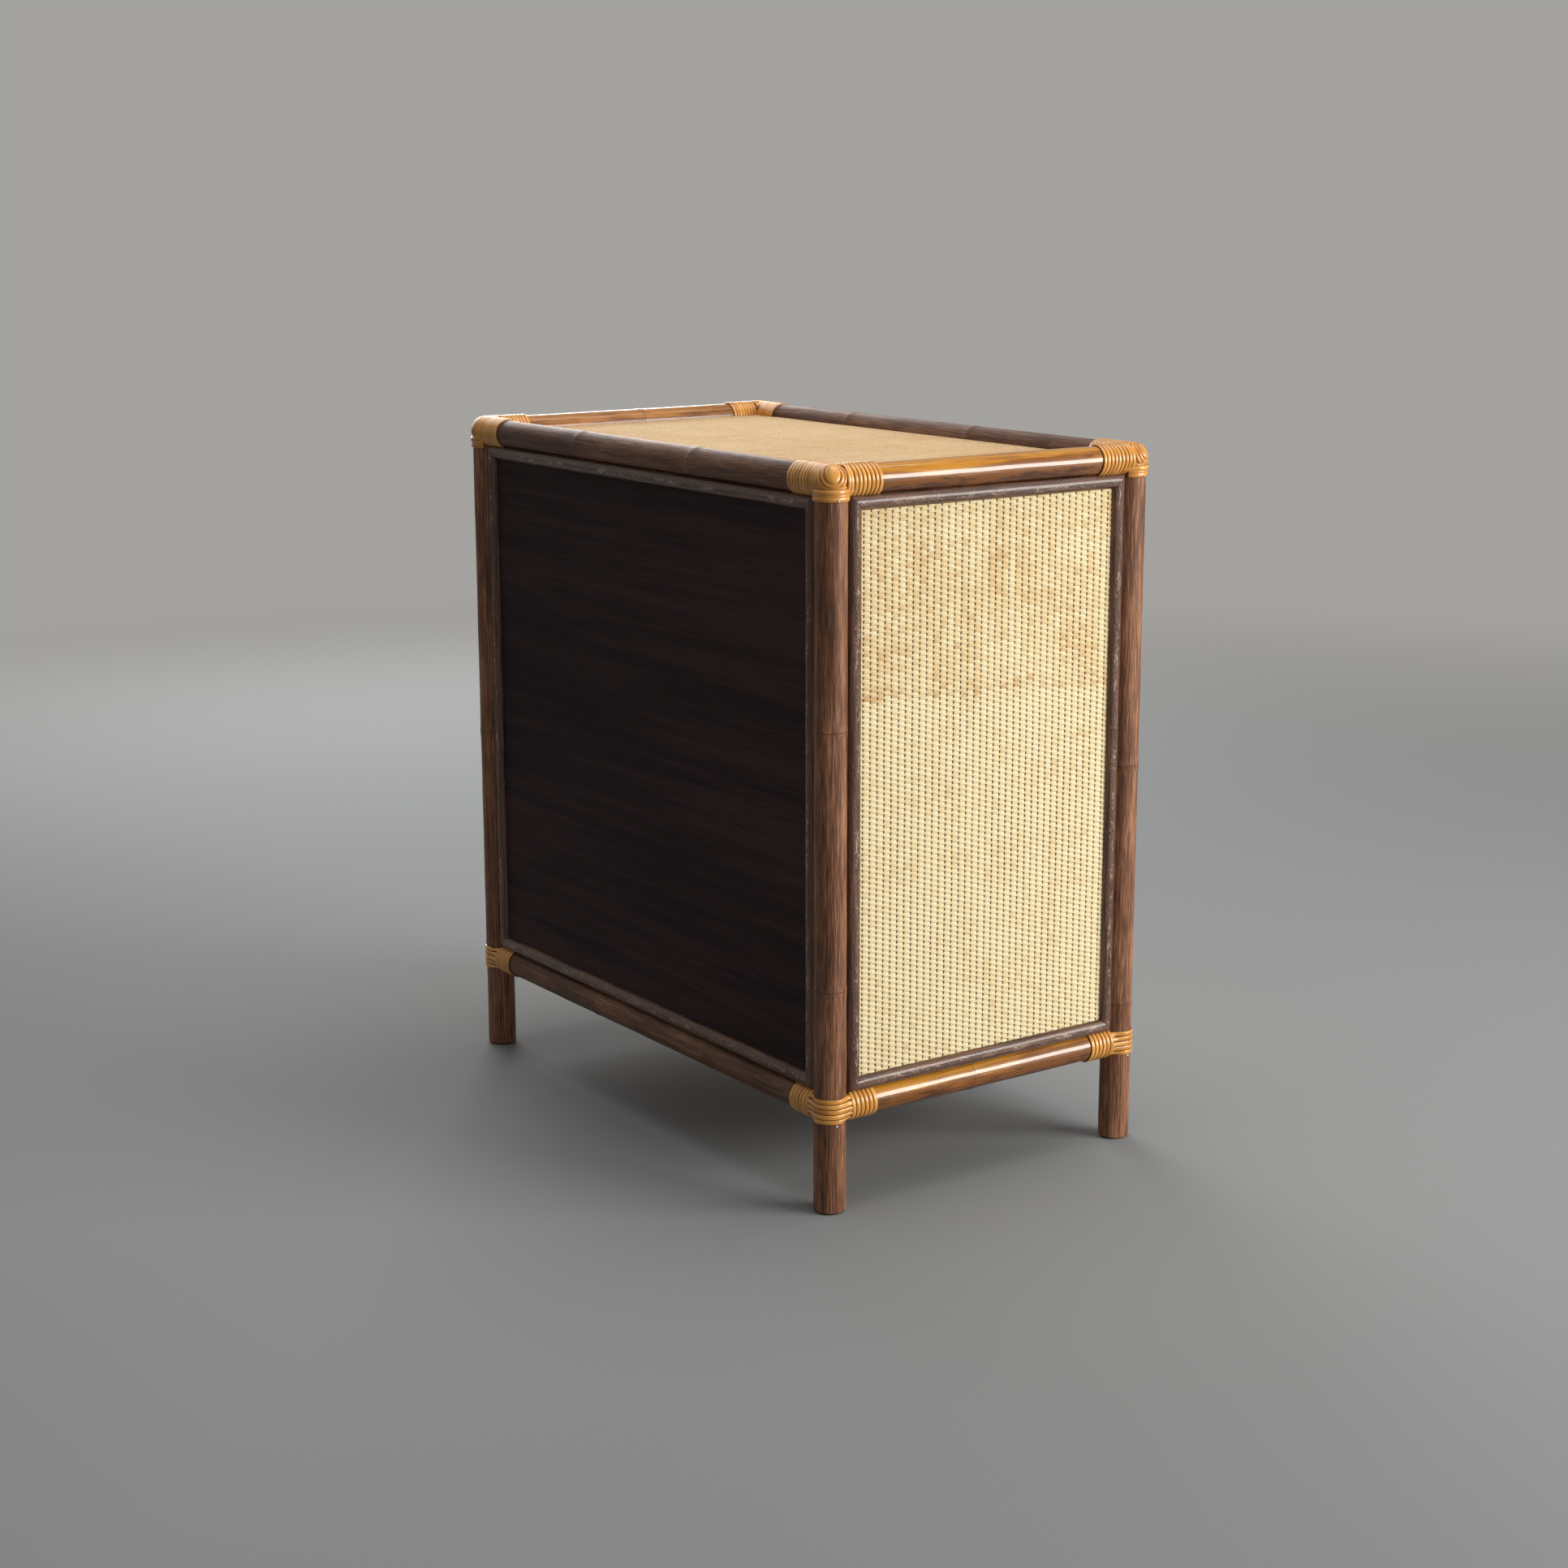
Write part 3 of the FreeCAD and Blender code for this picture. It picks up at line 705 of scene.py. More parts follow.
@dataclass(frozen=True)
class MetalFinish:
    """Plated metal with a handled, slightly dulled surface."""

    name: str
    bright: Colour
    dull: Colour
    roughness: float = 0.24
    brush_size: Place = (500.0, 500.0, 2600.0)
    tarnish_size: Place = (140.0, 140.0, 140.0)
    relief: float = 0.05 * MM

    def make(self) -> bpy.types.Material:
        """Mixes the finish.

        Returns:
            The material.
        """
        paint = Paint(self.name)
        brush = paint.solid(self.brush_size, 2.0, 0.6)
        tarnish = paint.solid(self.tarnish_size, 3.0, 0.6)
        colour = paint.mix(tarnish.step(0.42, 0.72), self.bright, self.dull)
        return paint.finish(
            Base_Color=colour,
            Metallic=1.0,
            Roughness=self.roughness + tarnish * 0.18 + brush * 0.08,
            Normal=paint.bump(brush, self.relief, 0.4),
        )


@dataclass(frozen=True)
class PlasticFinish:
    """Moulded plastic with a fine spark-eroded texture."""

    brown: Colour = (0.16, 0.09, 0.055)
    scuff: Colour = (0.28, 0.19, 0.13)
    texture_size: Place = (2400.0, 2400.0, 2400.0)
    scuff_size: Place = (190.0, 190.0, 190.0)
    relief: float = 0.05 * MM

    def make(self) -> bpy.types.Material:
        """Mixes the finish.

        Returns:
            The material.
        """
        paint = Paint("moulded_plastic")
        texture = paint.solid(self.texture_size, 1.0, 0.5)
        rubbed = paint.solid(self.scuff_size, 3.0, 0.6)
        return paint.finish(
            Base_Color=paint.mix(rubbed.step(0.52, 0.74) * 0.5, self.brown, self.scuff),
            Roughness=0.42 + rubbed * 0.16,
            Normal=paint.bump(texture, self.relief, 0.5),
        )


# --------------------------------------------------------------------- mesh helpers
STRAND_MARKS = ("along", "across", "tone")
MERGED = 0.004 * MM


def blank(marks: Sequence[str]) -> bmesh.types.BMesh:
    """A new mesh.

    Args:
        marks: names of numbers that every vertex carries.

    Returns:
        The mesh.
    """
    mesh = bmesh.new()
    for name in marks:
        mesh.verts.layers.float.new(name)
    return mesh


def turn_out(mesh: bmesh.types.BMesh) -> None:
    """Merges doubled vertices and turns every face outwards."""
    bmesh.ops.remove_doubles(mesh, verts=mesh.verts, dist=MERGED)
    bmesh.ops.recalc_face_normals(mesh, faces=mesh.faces)


def of_kind(items: Sequence[object], kind: type) -> List[object]:
    """Those of an operator's results that are vertices, edges or faces."""
    return [item for item in items if isinstance(item, kind)]


def open_edges(items: Sequence[bmesh.types.BMEdge]) -> List[bmesh.types.BMEdge]:
    """The edges with a face on one side only."""
    return [item for item in items if item.is_boundary]


def cut(mesh: bmesh.types.BMesh, place: Sequence[float], normal: Sequence[float]) -> None:
    """Cuts new edges through the whole mesh along a plane, and keeps both sides."""
    everything = [*mesh.verts, *mesh.edges, *mesh.faces]
    bmesh.ops.bisect_plane(mesh, geom=everything, plane_co=place, plane_no=normal, dist=1e-7)


def close_back(mesh: bmesh.types.BMesh, height: float) -> None:
    """Gives an open sheet straight sides down to a flat back.

    Args:
        mesh: the sheet.
        height: of its back.
    """
    grown = bmesh.ops.extrude_edge_only(mesh, edges=open_edges(mesh.edges))["geom"]
    for vertex in of_kind(grown, bmesh.types.BMVert):
        vertex.co.z = height
    bmesh.ops.contextual_create(mesh, geom=open_edges(of_kind(grown, bmesh.types.BMEdge)))


def publish(
    mesh: bmesh.types.BMesh,
    name: str,
    finish: bpy.types.Material,
    body: Body = Body.CARCASS,
    stands_for: Sequence[str] = (),
    crease: float = 38.0,
) -> None:
    """Makes a piece of a mesh.

    Args:
        mesh: the shape, in place; it is freed.
        name: the piece's name.
        finish: its material.
        body: what it moves with.
        stands_for: the frame's nodes that it replaces.
        crease: edges turned by more degrees than this stay sharp.
    """
    data = bpy.data.meshes.new(name)
    mesh.to_mesh(data)
    mesh.free()
    data.polygons.foreach_set("use_smooth", [True] * len(data.polygons))
    data.set_sharp_from_angle(angle=math.radians(crease))
    data.materials.append(finish)
    piece = bpy.data.objects.new(name, data)
    bpy.context.scene.collection.objects.link(piece)
    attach(piece, body.value)
    if stands_for:
        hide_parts(*stands_for)
    LOG.info("%s: %d faces, on %s", name, len(data.polygons), body.value)


def station(origin: Vector, across: Vector, outward: Vector) -> Matrix:
    """The placing of a strand's section.

    Args:
        origin: middle of the section's foot.
        across: the way across the strand.
        outward: away from what the strand lies on.

    Returns:
        The placing, with X across and Y outwards.
    """
    side = across.normalized()
    up = (outward - side * outward.dot(side)).normalized()
    ahead = side.cross(up)
    return Matrix.Translation(origin) @ Matrix((side, up, ahead)).transposed().to_4x4()


def sweep(
    mesh: bmesh.types.BMesh,
    section: Sequence[Vector],
    stations: Sequence[Matrix],
    tone: Union[float, Callable[[int], float]],
) -> List[List[bmesh.types.BMVert]]:
    """Carries a closed section through a row of stations.

    Args:
        mesh: what it is added to, with the marks along, across and tone.
        section: corners of the section on the station's X and Y.
        stations: where the section stands, in order.
        tone: the strand's own tone, or a function from the station's number to it.

    Returns:
        The vertices at each station.
    """
    layers = mesh.verts.layers.float
    reach = max(abs(corner.x) for corner in section)
    ring = [mesh.verts.new(stations[0] @ corner) for corner in section]
    for vertex, corner in zip(ring, section):
        vertex[layers["across"]] = corner.x / reach
    edges = list(mesh.faces.new(ring).edges)
    rings = [ring]
    travelled = 0.0
    for before, after in zip(stations, stations[1:]):
        travelled += (after.translation - before.translation).length
        grown = bmesh.ops.extrude_edge_only(mesh, edges=edges)["geom"]
        ring = of_kind(grown, bmesh.types.BMVert)
        edges = open_edges(of_kind(grown, bmesh.types.BMEdge))
        bmesh.ops.transform(mesh, matrix=after @ before.inverted(), verts=ring)
        for vertex in ring:
            vertex[layers["along"]] = travelled
        rings.append(ring)
    bmesh.ops.contextual_create(mesh, geom=edges)
    for number, ring in enumerate(rings):
        value = tone(number) if callable(tone) else tone
        for vertex in ring:
            vertex[layers["tone"]] = value
    return rings


def turned(mesh: bmesh.types.BMesh, profile: Outline, place: Matrix, steps: int) -> None:
    """Turns a profile once round an axis.

    Args:
        mesh: what it is added to.
        profile: radius and height of each point, from axis to axis.
        place: where the axis stands; the profile rises along its Z.
        steps: facets round it.
    """
    points = [mesh.verts.new(place @ Vector((radius, 0.0, height))) for radius, height in profile]
    edges = [mesh.edges.new(pair) for pair in zip(points, points[1:])]
    bmesh.ops.spin(
        mesh,
        geom=points + edges,
        cent=place.translation,
        axis=place.to_3x3() @ Vector((0.0, 0.0, 1.0)),
        angle=2.0 * math.pi,
        steps=steps,
        use_merge=True,
    )


def slotted_head(mesh: bmesh.types.BMesh, place: Matrix, radius: float, rise: float) -> None:
    """A screw's head with a straight slot.

    Args:
        mesh: what it is added to.
        place: middle of the head's seat, with Z outwards and the slot along X.
        radius: of the head.
        rise: of its crown over the seat.
    """
    slot_half, slot_depth = 0.14 * radius, 0.45 * rise
    edge, edge_width = 0.5 * rise, 0.35 * radius
    head = bmesh.new()
    bmesh.ops.create_circle(head, cap_ends=True, radius=radius, segments=24)
    grown = bmesh.ops.extrude_face_region(head, geom=list(head.faces))["geom"]
    bmesh.ops.translate(head, vec=(0.0, 0.0, edge), verts=of_kind(grown, bmesh.types.BMVert))
    top = of_kind(grown, bmesh.types.BMFace)
    bmesh.ops.inset_region(head, faces=top, thickness=edge_width, depth=rise - edge)
    for offset in (-slot_half, slot_half):
        cut(head, (0.0, offset, 0.0), (0.0, 1.0, 0.0))
    bmesh.ops.recalc_face_normals(head, faces=head.faces)
    facing_out = [face for face in head.faces if face.normal.z > 0.3]
    floor = [face for face in facing_out if abs(face.calc_center_median().y) < slot_half]
    sunk = bmesh.ops.extrude_face_region(head, geom=floor)["geom"]
    bmesh.ops.delete(head, geom=floor, context="FACES")
    bmesh.ops.translate(head, vec=(0.0, 0.0, -slot_depth), verts=of_kind(sunk, bmesh.types.BMVert))
    bmesh.ops.transform(head, matrix=place, verts=head.verts)
    turn_out(head)
    append(mesh, head)


def append(mesh: bmesh.types.BMesh, part: bmesh.types.BMesh, matrix: Optional[Matrix] = None) -> None:
    """Adds one mesh to another.

    Args:
        mesh: what it is added to.
        part: what is added; it is freed.
        matrix: a placing for the part, where it needs one.
    """
    if matrix is not None:
        bmesh.ops.transform(part, matrix=matrix, verts=part.verts)
        if matrix.determinant() < 0.0:
            bmesh.ops.reverse_faces(part, faces=part.faces)
    data = bpy.data.meshes.new("joined")
    part.to_mesh(data)
    part.free()
    mesh.from_mesh(data)
    bpy.data.meshes.remove(data)


def facing(origin: Vector, outward: Vector, up: Vector = Vector((0.0, 0.0, 1.0))) -> Matrix:
    """A placing on a surface.

    Args:
        origin: where it stands.
        outward: the way that Z looks.
        up: what Y leans towards.

    Returns:
        The placing.
    """
    ahead = outward.normalized()
    side = up.cross(ahead).normalized()
    return Matrix.Translation(origin) @ Matrix((side, ahead.cross(side), ahead)).transposed().to_4x4()


def on_wall(wall: Wall, layout: "Layout") -> Matrix:
    """The placing of a wall's own axes.

    Args:
        wall: one of the four sides.
        layout: for the places of the posts.

    Returns:
        X along the wall, -Y outwards, the axes of its posts at Y 0.
    """
    depth = layout.post_y if wall in (Wall.FRONT, Wall.BACK) else layout.post_x
    turn = Matrix.Rotation(wall.value * math.pi / 2.0, 4, "Z")
    return turn @ Matrix.Translation((0.0, -depth, 0.0))


def dress(nodes: Dict[str, bpy.types.Object], names: Sequence[str], finish: bpy.types.Material) -> None:
    """Gives nodes of the frame a finish.

    Args:
        nodes: the frame's nodes.
        names: of those to dress.
        finish: their material.
    """
    for name in names:
        node = nodes[name]
        node.data.materials.clear()
        node.data.materials.append(finish)
        LOG.info("%s: %s", name, finish.name)


def ease(node: bpy.types.Object, width: float) -> None:
    """Takes the sharp edges off a piece of the frame, by modifiers that leave its own mesh alone.

    Args:
        node: the piece.
        width: of the bevel.
    """
    weld = node.modifiers.new("weld", "WELD")
    weld.merge_threshold = 0.01 * MM
    bevel = node.modifiers.new("eased_edges", "BEVEL")
    bevel.width = width
    bevel.segments = 2
    bevel.limit_method = "ANGLE"
    bevel.angle_limit = math.radians(35.0)


# --------------------------------------------------------------------------- layout
@dataclass(frozen=True)
class Layout:
    """Places that the sub-assemblies share, read from the frame."""

    post_x: float
    post_y: float
    post_r: float
    rail_r: float
    height: float
    levels: Dict[Level, float]

    @classmethod
    def read(cls) -> "Layout":
        """Reads the boxes of the posts, rails and caps.

        Returns:
            The places.
        """
        low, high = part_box("post_back_right")
        levels: Dict[Level, float] = {}
        rail_r = 0.0
        for level in Level:
            foot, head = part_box("rail_" + level.value + "_back")
            levels[level] = (foot.z + head.z) / 2.0
            rail_r = (head.z - foot.z) / 2.0
        return cls(
            post_x=(low.x + high.x) / 2.0,
            post_y=(low.y + high.y) / 2.0,
            post_r=(high.x - low.x) / 2.0,
            rail_r=rail_r,
            height=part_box("bindings_top")[1].z,
            levels=levels,
        )

    def half_span(self, wall: Wall) -> float:
        """Half the distance between the post axes along a wall."""
        return self.post_x if wall in (Wall.FRONT, Wall.BACK) else self.post_y

    def corner(self, name: str) -> Matrix:
        """The placing of a corner.

        Args:
            name: one of the four corners.

        Returns:
            The post's axis at the origin, the table towards +X and +Y.
        """
        side_x, side_y = CORNERS[name]
        place = Matrix.Translation((side_x * self.post_x, side_y * self.post_y, 0.0))
        return place @ Matrix.Diagonal((-side_x, -side_y, 1.0, 1.0))


# ---------------------------------------------------------------------------- frame
FIRST_KNUCKLE: Dict[str, float] = {
    "front_left": 0.121,
    "front_right": 0.156,
    "back_left": 0.185,
    "back_right": 0.098,
}
# The rails of the back and of the right end get darker tones than those of the left end. This is partly
# painted shade on the sides turned from the key light; the rest is the cane's own smoke.
RAIL_TONES: Dict[Tuple[Level, Wall], Tuple[float, ...]] = {
    (Level.TOP, Wall.FRONT): (-0.5, -0.4, -0.45),
    (Level.TOP, Wall.BACK): (-0.5, -0.4, -0.55),
    (Level.TOP, Wall.LEFT): (1.0,),
    (Level.TOP, Wall.RIGHT): (0.5, 0.42),
    (Level.BOTTOM, Wall.FRONT): (-0.4, -0.5, -0.3),
    (Level.BOTTOM, Wall.BACK): (-0.5, -0.4, -0.5),
    (Level.BOTTOM, Wall.LEFT): (0.92, 1.0),
    (Level.BOTTOM, Wall.RIGHT): (0.6, 0.5),
}


def bell(distance: float, reach: float) -> float:
    """A smooth hump: 1 at no distance, about a third at the reach, and 0 far off."""
    return math.exp(-((distance / reach) ** 2))


@dataclass
class PoleFrame:
    """The four posts and eight rails.

    Knuckles are the rings where a cane's leaves grew.  Tones run from -1, smoked nearly black,
    by way of 0, brown, to 1, amber; a pole has one for each stretch between its knuckles.
    """

    layout: Layout
    internode: float = 0.208
    facets: int = 40
    spacing: float = 9.0 * MM
    foot_chamfer: float = 2.0 * MM
    dome: float = 9.0 * MM
    dome_power: float = 2.4
    head_room: float = 1.7 * MM
    swelling: float = 0.45 * MM
    ring_half: float = 1.6 * MM
    ring_marks: Tuple[float, ...] = (-3.0, -1.0, -0.45, 0.0, 0.45, 1.0, 3.0)
    end_marks: Tuple[float, ...] = (0.5, 1.0, 2.0, 4.0, 6.0)
    wobble: float = 0.22 * MM
    wobble_pitch: float = 22.0

    def places(self, length: float, knuckles: Sequence[float]) -> List[float]:
        """Distances along a pole at which its section stands.

        Args:
            length: of the pole.
            knuckles: distance of each from its start.

        Returns:
            The distances in order, closer at ends and knuckles.
        """
        count = round(length / self.spacing)
        marks = {round(length * index / count, 6) for index in range(count + 1)}
        for knuckle in knuckles:
            marks.update(round(knuckle + offset * self.ring_half, 6) for offset in self.ring_marks)
        for inset in (share * self.foot_chamfer for share in self.end_marks):
            marks.update((round(inset, 6), round(length - inset, 6)))
        return sorted(mark for mark in marks if 0.0 <= mark <= length)

    def pole(
        self,
        name: str,
        start: Vector,
        axis: Axis,
        length: float,
        radius: float,
        knuckles: Sequence[float],
        tones: Sequence[float],
        finish: bpy.types.Material,
        ends: Callable[[float], float],
    ) -> None:
        """Makes one pole.

        Args:
            name: of the frame's node that it replaces; the piece is named after it.
            start: where its axis begins.
            axis: the way that it runs.
            length: of the pole.
            radius: between its knuckles.
            knuckles: distance of each from the start.
            tones: of each stretch between knuckles.
            finish: its material.
            ends: share of the radius at a distance from the start.
        """
        mesh = blank(STRAND_MARKS + ("knuckle", "crown"))
        direction = axis.way()
        side = Axis.Z.way() if axis is Axis.Y else Axis.Y.way()
        places = self.places(length, knuckles)
        outline = [
            Vector((math.cos(turn), math.sin(turn), 0.0)) * radius
            for turn in (2.0 * math.pi * index / self.facets for index in range(self.facets))
        ]
        stations = [station(start + direction * place, side.cross(direction), side) for place in places]
        rings = sweep(mesh, outline, stations, 0.0)
        layers = mesh.verts.layers.float
        for ring, place in zip(rings, places):
            nearest = min((abs(place - knuckle) for knuckle in knuckles), default=length)
            stretch = sum(1 for knuckle in knuckles if place > knuckle)
            swell = bell(nearest, 2.2 * self.ring_half) * self.swelling
            groove = bell(nearest, 0.3 * self.ring_half) * 0.6 * self.swelling
            middle = start + direction * place
            for vertex in ring:
                reach = (vertex.co - middle).normalized()
                unround = noise.noise(reach * 1.4 + direction * place * self.wobble_pitch + start * 9.0)
                vertex.co = middle + reach * (radius * ends(place) + swell - groove + unround * self.wobble)
                vertex[layers["knuckle"]] = bell(nearest, 0.55 * self.ring_half)
                vertex[layers["tone"]] = tones[stretch]
                # crown: how far the surface faces up, 0 on the posts; the pole finish paints light above and
                # shade below from it.
                vertex[layers["crown"]] = reach.z if axis is not Axis.Z else 0.0
        turn_out(mesh)
        publish(mesh, "pole_" + name, finish, stands_for=(name,))

    def post_ends(self, length: float) -> Callable[[float], float]:
        """The chamfered foot and rounded head of a post.

        Args:
            length: of the post.

        Returns:
            The share of the full radius at a height.
        """
        smallest = 0.05

        def share(place: float) -> float:
            """Share of the radius at a height."""
            if place < self.foot_chamfer:
                return 1.0 - (self.foot_chamfer - place) / self.layout.post_r
            if place > length - self.dome:
                rise = (place - length + self.dome) / self.dome
                return max((1.0 - rise ** self.dome_power) ** 0.5, smallest)
            return 1.0

        return share

    def build(self) -> None:
        """Makes all the poles."""
        layout = self.layout
        finishes = {axis: PoleFinish(axis, wax=1.0 if axis is Axis.Y else 0.0).make() for axis in Axis}
        dice = random.Random(41)
        length = layout.height - self.head_room
        for corner, (side_x, side_y) in CORNERS.items():
            start = Vector((side_x * layout.post_x, side_y * layout.post_y, 0.0))
            knuckles = [FIRST_KNUCKLE[corner] + self.internode * index for index in range(2)]
            tones = [dice.uniform(0.0, 0.12) for _ in range(3)]
            self.pole(
                "post_" + corner, start, Axis.Z, length, layout.post_r, knuckles, tones,
                finishes[Axis.Z], self.post_ends(length),
            )
        for (level, wall), tones in RAIL_TONES.items():
            name = "rail_" + level.value + "_" + wall.name.lower()
            half = layout.half_span(wall)
            axis = Axis.X if wall in (Wall.FRONT, Wall.BACK) else Axis.Y
            start = on_wall(wall, layout).translation.copy()
            start[axis.value] = -half
            start.z = layout.levels[level]
            shift = dice.uniform(-0.02, 0.03)
            knuckles = [2.0 * half * index / len(tones) + shift for index in range(1, len(tones))]
            self.pole(
                name, start, axis, 2.0 * half, layout.rail_r, knuckles, tones, finishes[axis],
                lambda place: 1.0,
            )


# ------------------------------------------------------------------------- bindings
@dataclass(frozen=True)
class Winding:
    """How the strand is wound on the rails at one level.

    The coil runs from first to last, measured from the post's axis, and its first turns lean
    along the rail.  The seed is for the unevenness of this level's joints.
    """

    wraps: int
    width: float
    first: float
    last: float
    lean: float
    seed: int


@dataclass(frozen=True)
class Row:
    """A row of strand round a post: its height over the rails' axis, and how far it stands off."""

    rise: float
    width: float
    flare: float = 0.0


@dataclass(frozen=True)
class Hoop:
    """A part turn round a rail: its distance from the post's axis, and where it starts.

    The start is in degrees from the rail's inner side, by way of its underside.
    """

    distance: float
    first: float = 128.0


WINDINGS: Dict[Level, Winding] = {
    Level.TOP: Winding(
        wraps=8, width=3.62 * MM, first=9.0 * MM, last=40.4 * MM, lean=2.6 * MM, seed=130
    ),
    Level.BOTTOM: Winding(
        wraps=6, width=4.02 * MM, first=12.8 * MM, last=38.4 * MM, lean=1.6 * MM, seed=160
    ),
}


@dataclass
class Bindings:
    """Flat strand round every joint: coils on the rails, rows round the posts, domed caps.

    Angles are in degrees.  The four sides of a cap's turn are right, upper, left and lower.
    """

    layout: Layout
    thick: float = 1.4 * MM
    section_shape: Outline = ((-1.0, 0.0), (-0.98, 0.42), (-0.82, 0.74), (-0.44, 0.95), (0.0, 1.0))
    lie: float = 0.1 * MM
    steps: int = 40
    slack: float = 0.06 * MM
    row_pitch: float = 4.2 * MM
    row_width: float = 4.16 * MM
    row_bend_steps: int = 16
    row_end_steps: int = 10
    row_under: float = 0.5 * MM
    tuck: float = 15.0 * MM
    merge: float = 12.5 * MM
    collar: Row = Row(-7.3 * MM, 4.6 * MM, 0.45 * MM)
    skirt: Tuple[Row, ...] = (Row(-12.6 * MM, 4.4 * MM), Row(-10.0 * MM, 3.0 * MM))
    under_cap: Tuple[Row, ...] = (
        Row(-4.3 * MM, 4.2 * MM, -0.75 * MM),
        Row(-0.5 * MM, 4.2 * MM, -0.75 * MM),
    )
    skirt_end: float = 42.8
    skirt_steps: int = 36
    hoops: Tuple[Hoop, ...] = (Hoop(2.6 * MM), Hoop(6.0 * MM), Hoop(9.4 * MM))
    cross_hoops: Tuple[Hoop, ...] = (Hoop(5.6 * MM, 250.0), Hoop(9.0 * MM))
    hoop_steps: int = 32
    hoop_swell: float = 1.0 * MM
    hoop_lean: float = 1.2 * MM
    hoop_overlap: float = 4.0
    cap_width: float = 3.5 * MM
    cap_turns: float = 2.75
    cap_swing: float = 26.0
    cap_rise: float = 30.0
    cap_first: Sides = (20.0, 29.0, 21.0, 26.0)
    cap_growth: Sides = (13.6, 13.4, 15.0, 12.6)
    cap_start: float = 111.6
    cap_squareness: float = 2.35
    cap_headroom: float = 0.25 * MM
    cap_steps: int = 44
    cap_tones: int = 8
    eye_size: Place = (5.5 * MM, 7.6 * MM, 2.5 * MM)
    eye_sunk: float = 0.95 * MM
    nail_r: float = 1.1 * MM
    nail_turn: float = 12.0
    nail_shape: Outline = ((0.0, 0.0), (1.0, 0.0), (1.0, 0.25), (0.8, 0.55), (0.45, 0.75), (0.0, 0.82))
    nail_below_rows: float = 1.7 * MM
    nail_below_cap: float = 13.6 * MM

    def strand(
        self, width: float, stations: Sequence[Matrix], tone: Union[float, Callable[[int], float]]
    ) -> bmesh.types.BMesh:
        """A strand: flat beneath, crowned above, with thin rounded edges.

        Args:
            width: of the strand.
            stations: where its section stands, in order.
            tone: the strand's own tone, or a function from the station's number to it.

        Returns:
            The strand.
        """
        mesh = blank(STRAND_MARKS)
        half = width / 2.0
        left = [Vector((x * half, y * self.thick, 0.0)) for x, y in self.section_shape]
        right = [Vector((-point.x, point.y, 0.0)) for point in reversed(left[:-1])]
        sweep(mesh, left + right, stations, tone)
        return mesh

    def coil(self, level: Level, dice: random.Random) -> bmesh.types.BMesh:
        """One strand wound round the end of the rail that runs along +X.

        Args:
            level: which rails it is on.
            dice: for the small unevenness of a hand-wound coil.

        Returns:
            The coil.
        """
        winding = WINDINGS[level]
        tones = [dice.random() for _ in range(winding.wraps + 1)]
        slack = [dice.uniform(-1.0, 1.0) * self.slack for _ in range(winding.wraps + 2)]
        middle = self.layout.levels[level]
        radius = self.layout.rail_r + self.lie
        reach = winding.last - winding.first - winding.lean
        stations = []
        for index in range(winding.wraps * self.steps + 1):
            turn = index / self.steps
            whole = min(int(turn), winding.wraps)
            share = turn - whole
            gap = slack[whole] * (1.0 - share) + slack[min(whole + 1, winding.wraps)] * share
            angle = 2.0 * math.pi * turn
            done = turn / winding.wraps
            lean = winding.lean * (1.0 - done) * math.cos(angle)
            outward = Vector((0.0, math.cos(angle), math.sin(angle)))
            origin = Vector((winding.first + winding.lean + reach * done + lean + gap, 0.0, middle))
            origin += outward * (radius + abs(gap) * 0.5)
            stations.append(station(origin, Vector((1.0, 0.0, 0.0)), outward))
        return self.strand(winding.width, stations, lambda number: tones[number // self.steps])

    def row(self, level: Level, row: Row, dice: random.Random) -> bmesh.types.BMesh:
        """One row of strand round the outside of a post, from one rail to the other.

        Args:
            level: which joint it is part of.
            row: its height and width.
            dice: for its tone.

        Returns:
            The row.
        """
        reach = self.layout.post_r + self.lie + row.flare
        straight = [self.tuck * (1.0 - index / self.row_end_steps) for index in range(self.row_end_steps)]
        stations = [self.on_rail(distance, level, row, True) for distance in straight]
        for index in range(self.row_bend_steps + 1):
            angle = math.pi + math.pi / 2.0 * index / self.row_bend_steps
            stations.append(self.on_post(angle, reach, self.layout.levels[level] + row.rise))
        stations += [self.on_rail(distance, level, row, False) for distance in reversed(straight)]
        return self.strand(row.width, stations, dice.random())

    def skirt_row(self, row: Row, dice: random.Random) -> bmesh.types.BMesh:
        """One row round an upper joint, which stops at the boards or under the coils.

        Args:
            row: its height and width.
            dice: for its tone.

        Returns:
            The row.
        """
        end = math.radians(self.skirt_end)
        first, last = math.pi / 2.0 + end, 2.0 * math.pi - end
        height = self.layout.levels[Level.TOP] + row.rise
        reach = self.layout.post_r + self.lie + row.flare
        angles = [first + (last - first) * index / self.skirt_steps for index in range(self.skirt_steps + 1)]
        stations = [self.on_post(angle, reach, height) for angle in angles]
        return self.strand(row.width, stations, dice.random())

    def on_post(self, angle: float, reach: float, height: float) -> Matrix:
        """The strand's placing at an angle round the post."""
        outward = Vector((math.cos(angle), math.sin(angle), 0.0))
        return station(outward * reach + Vector((0.0, 0.0, height)), Vector((0.0, 0.0, 1.0)), outward)

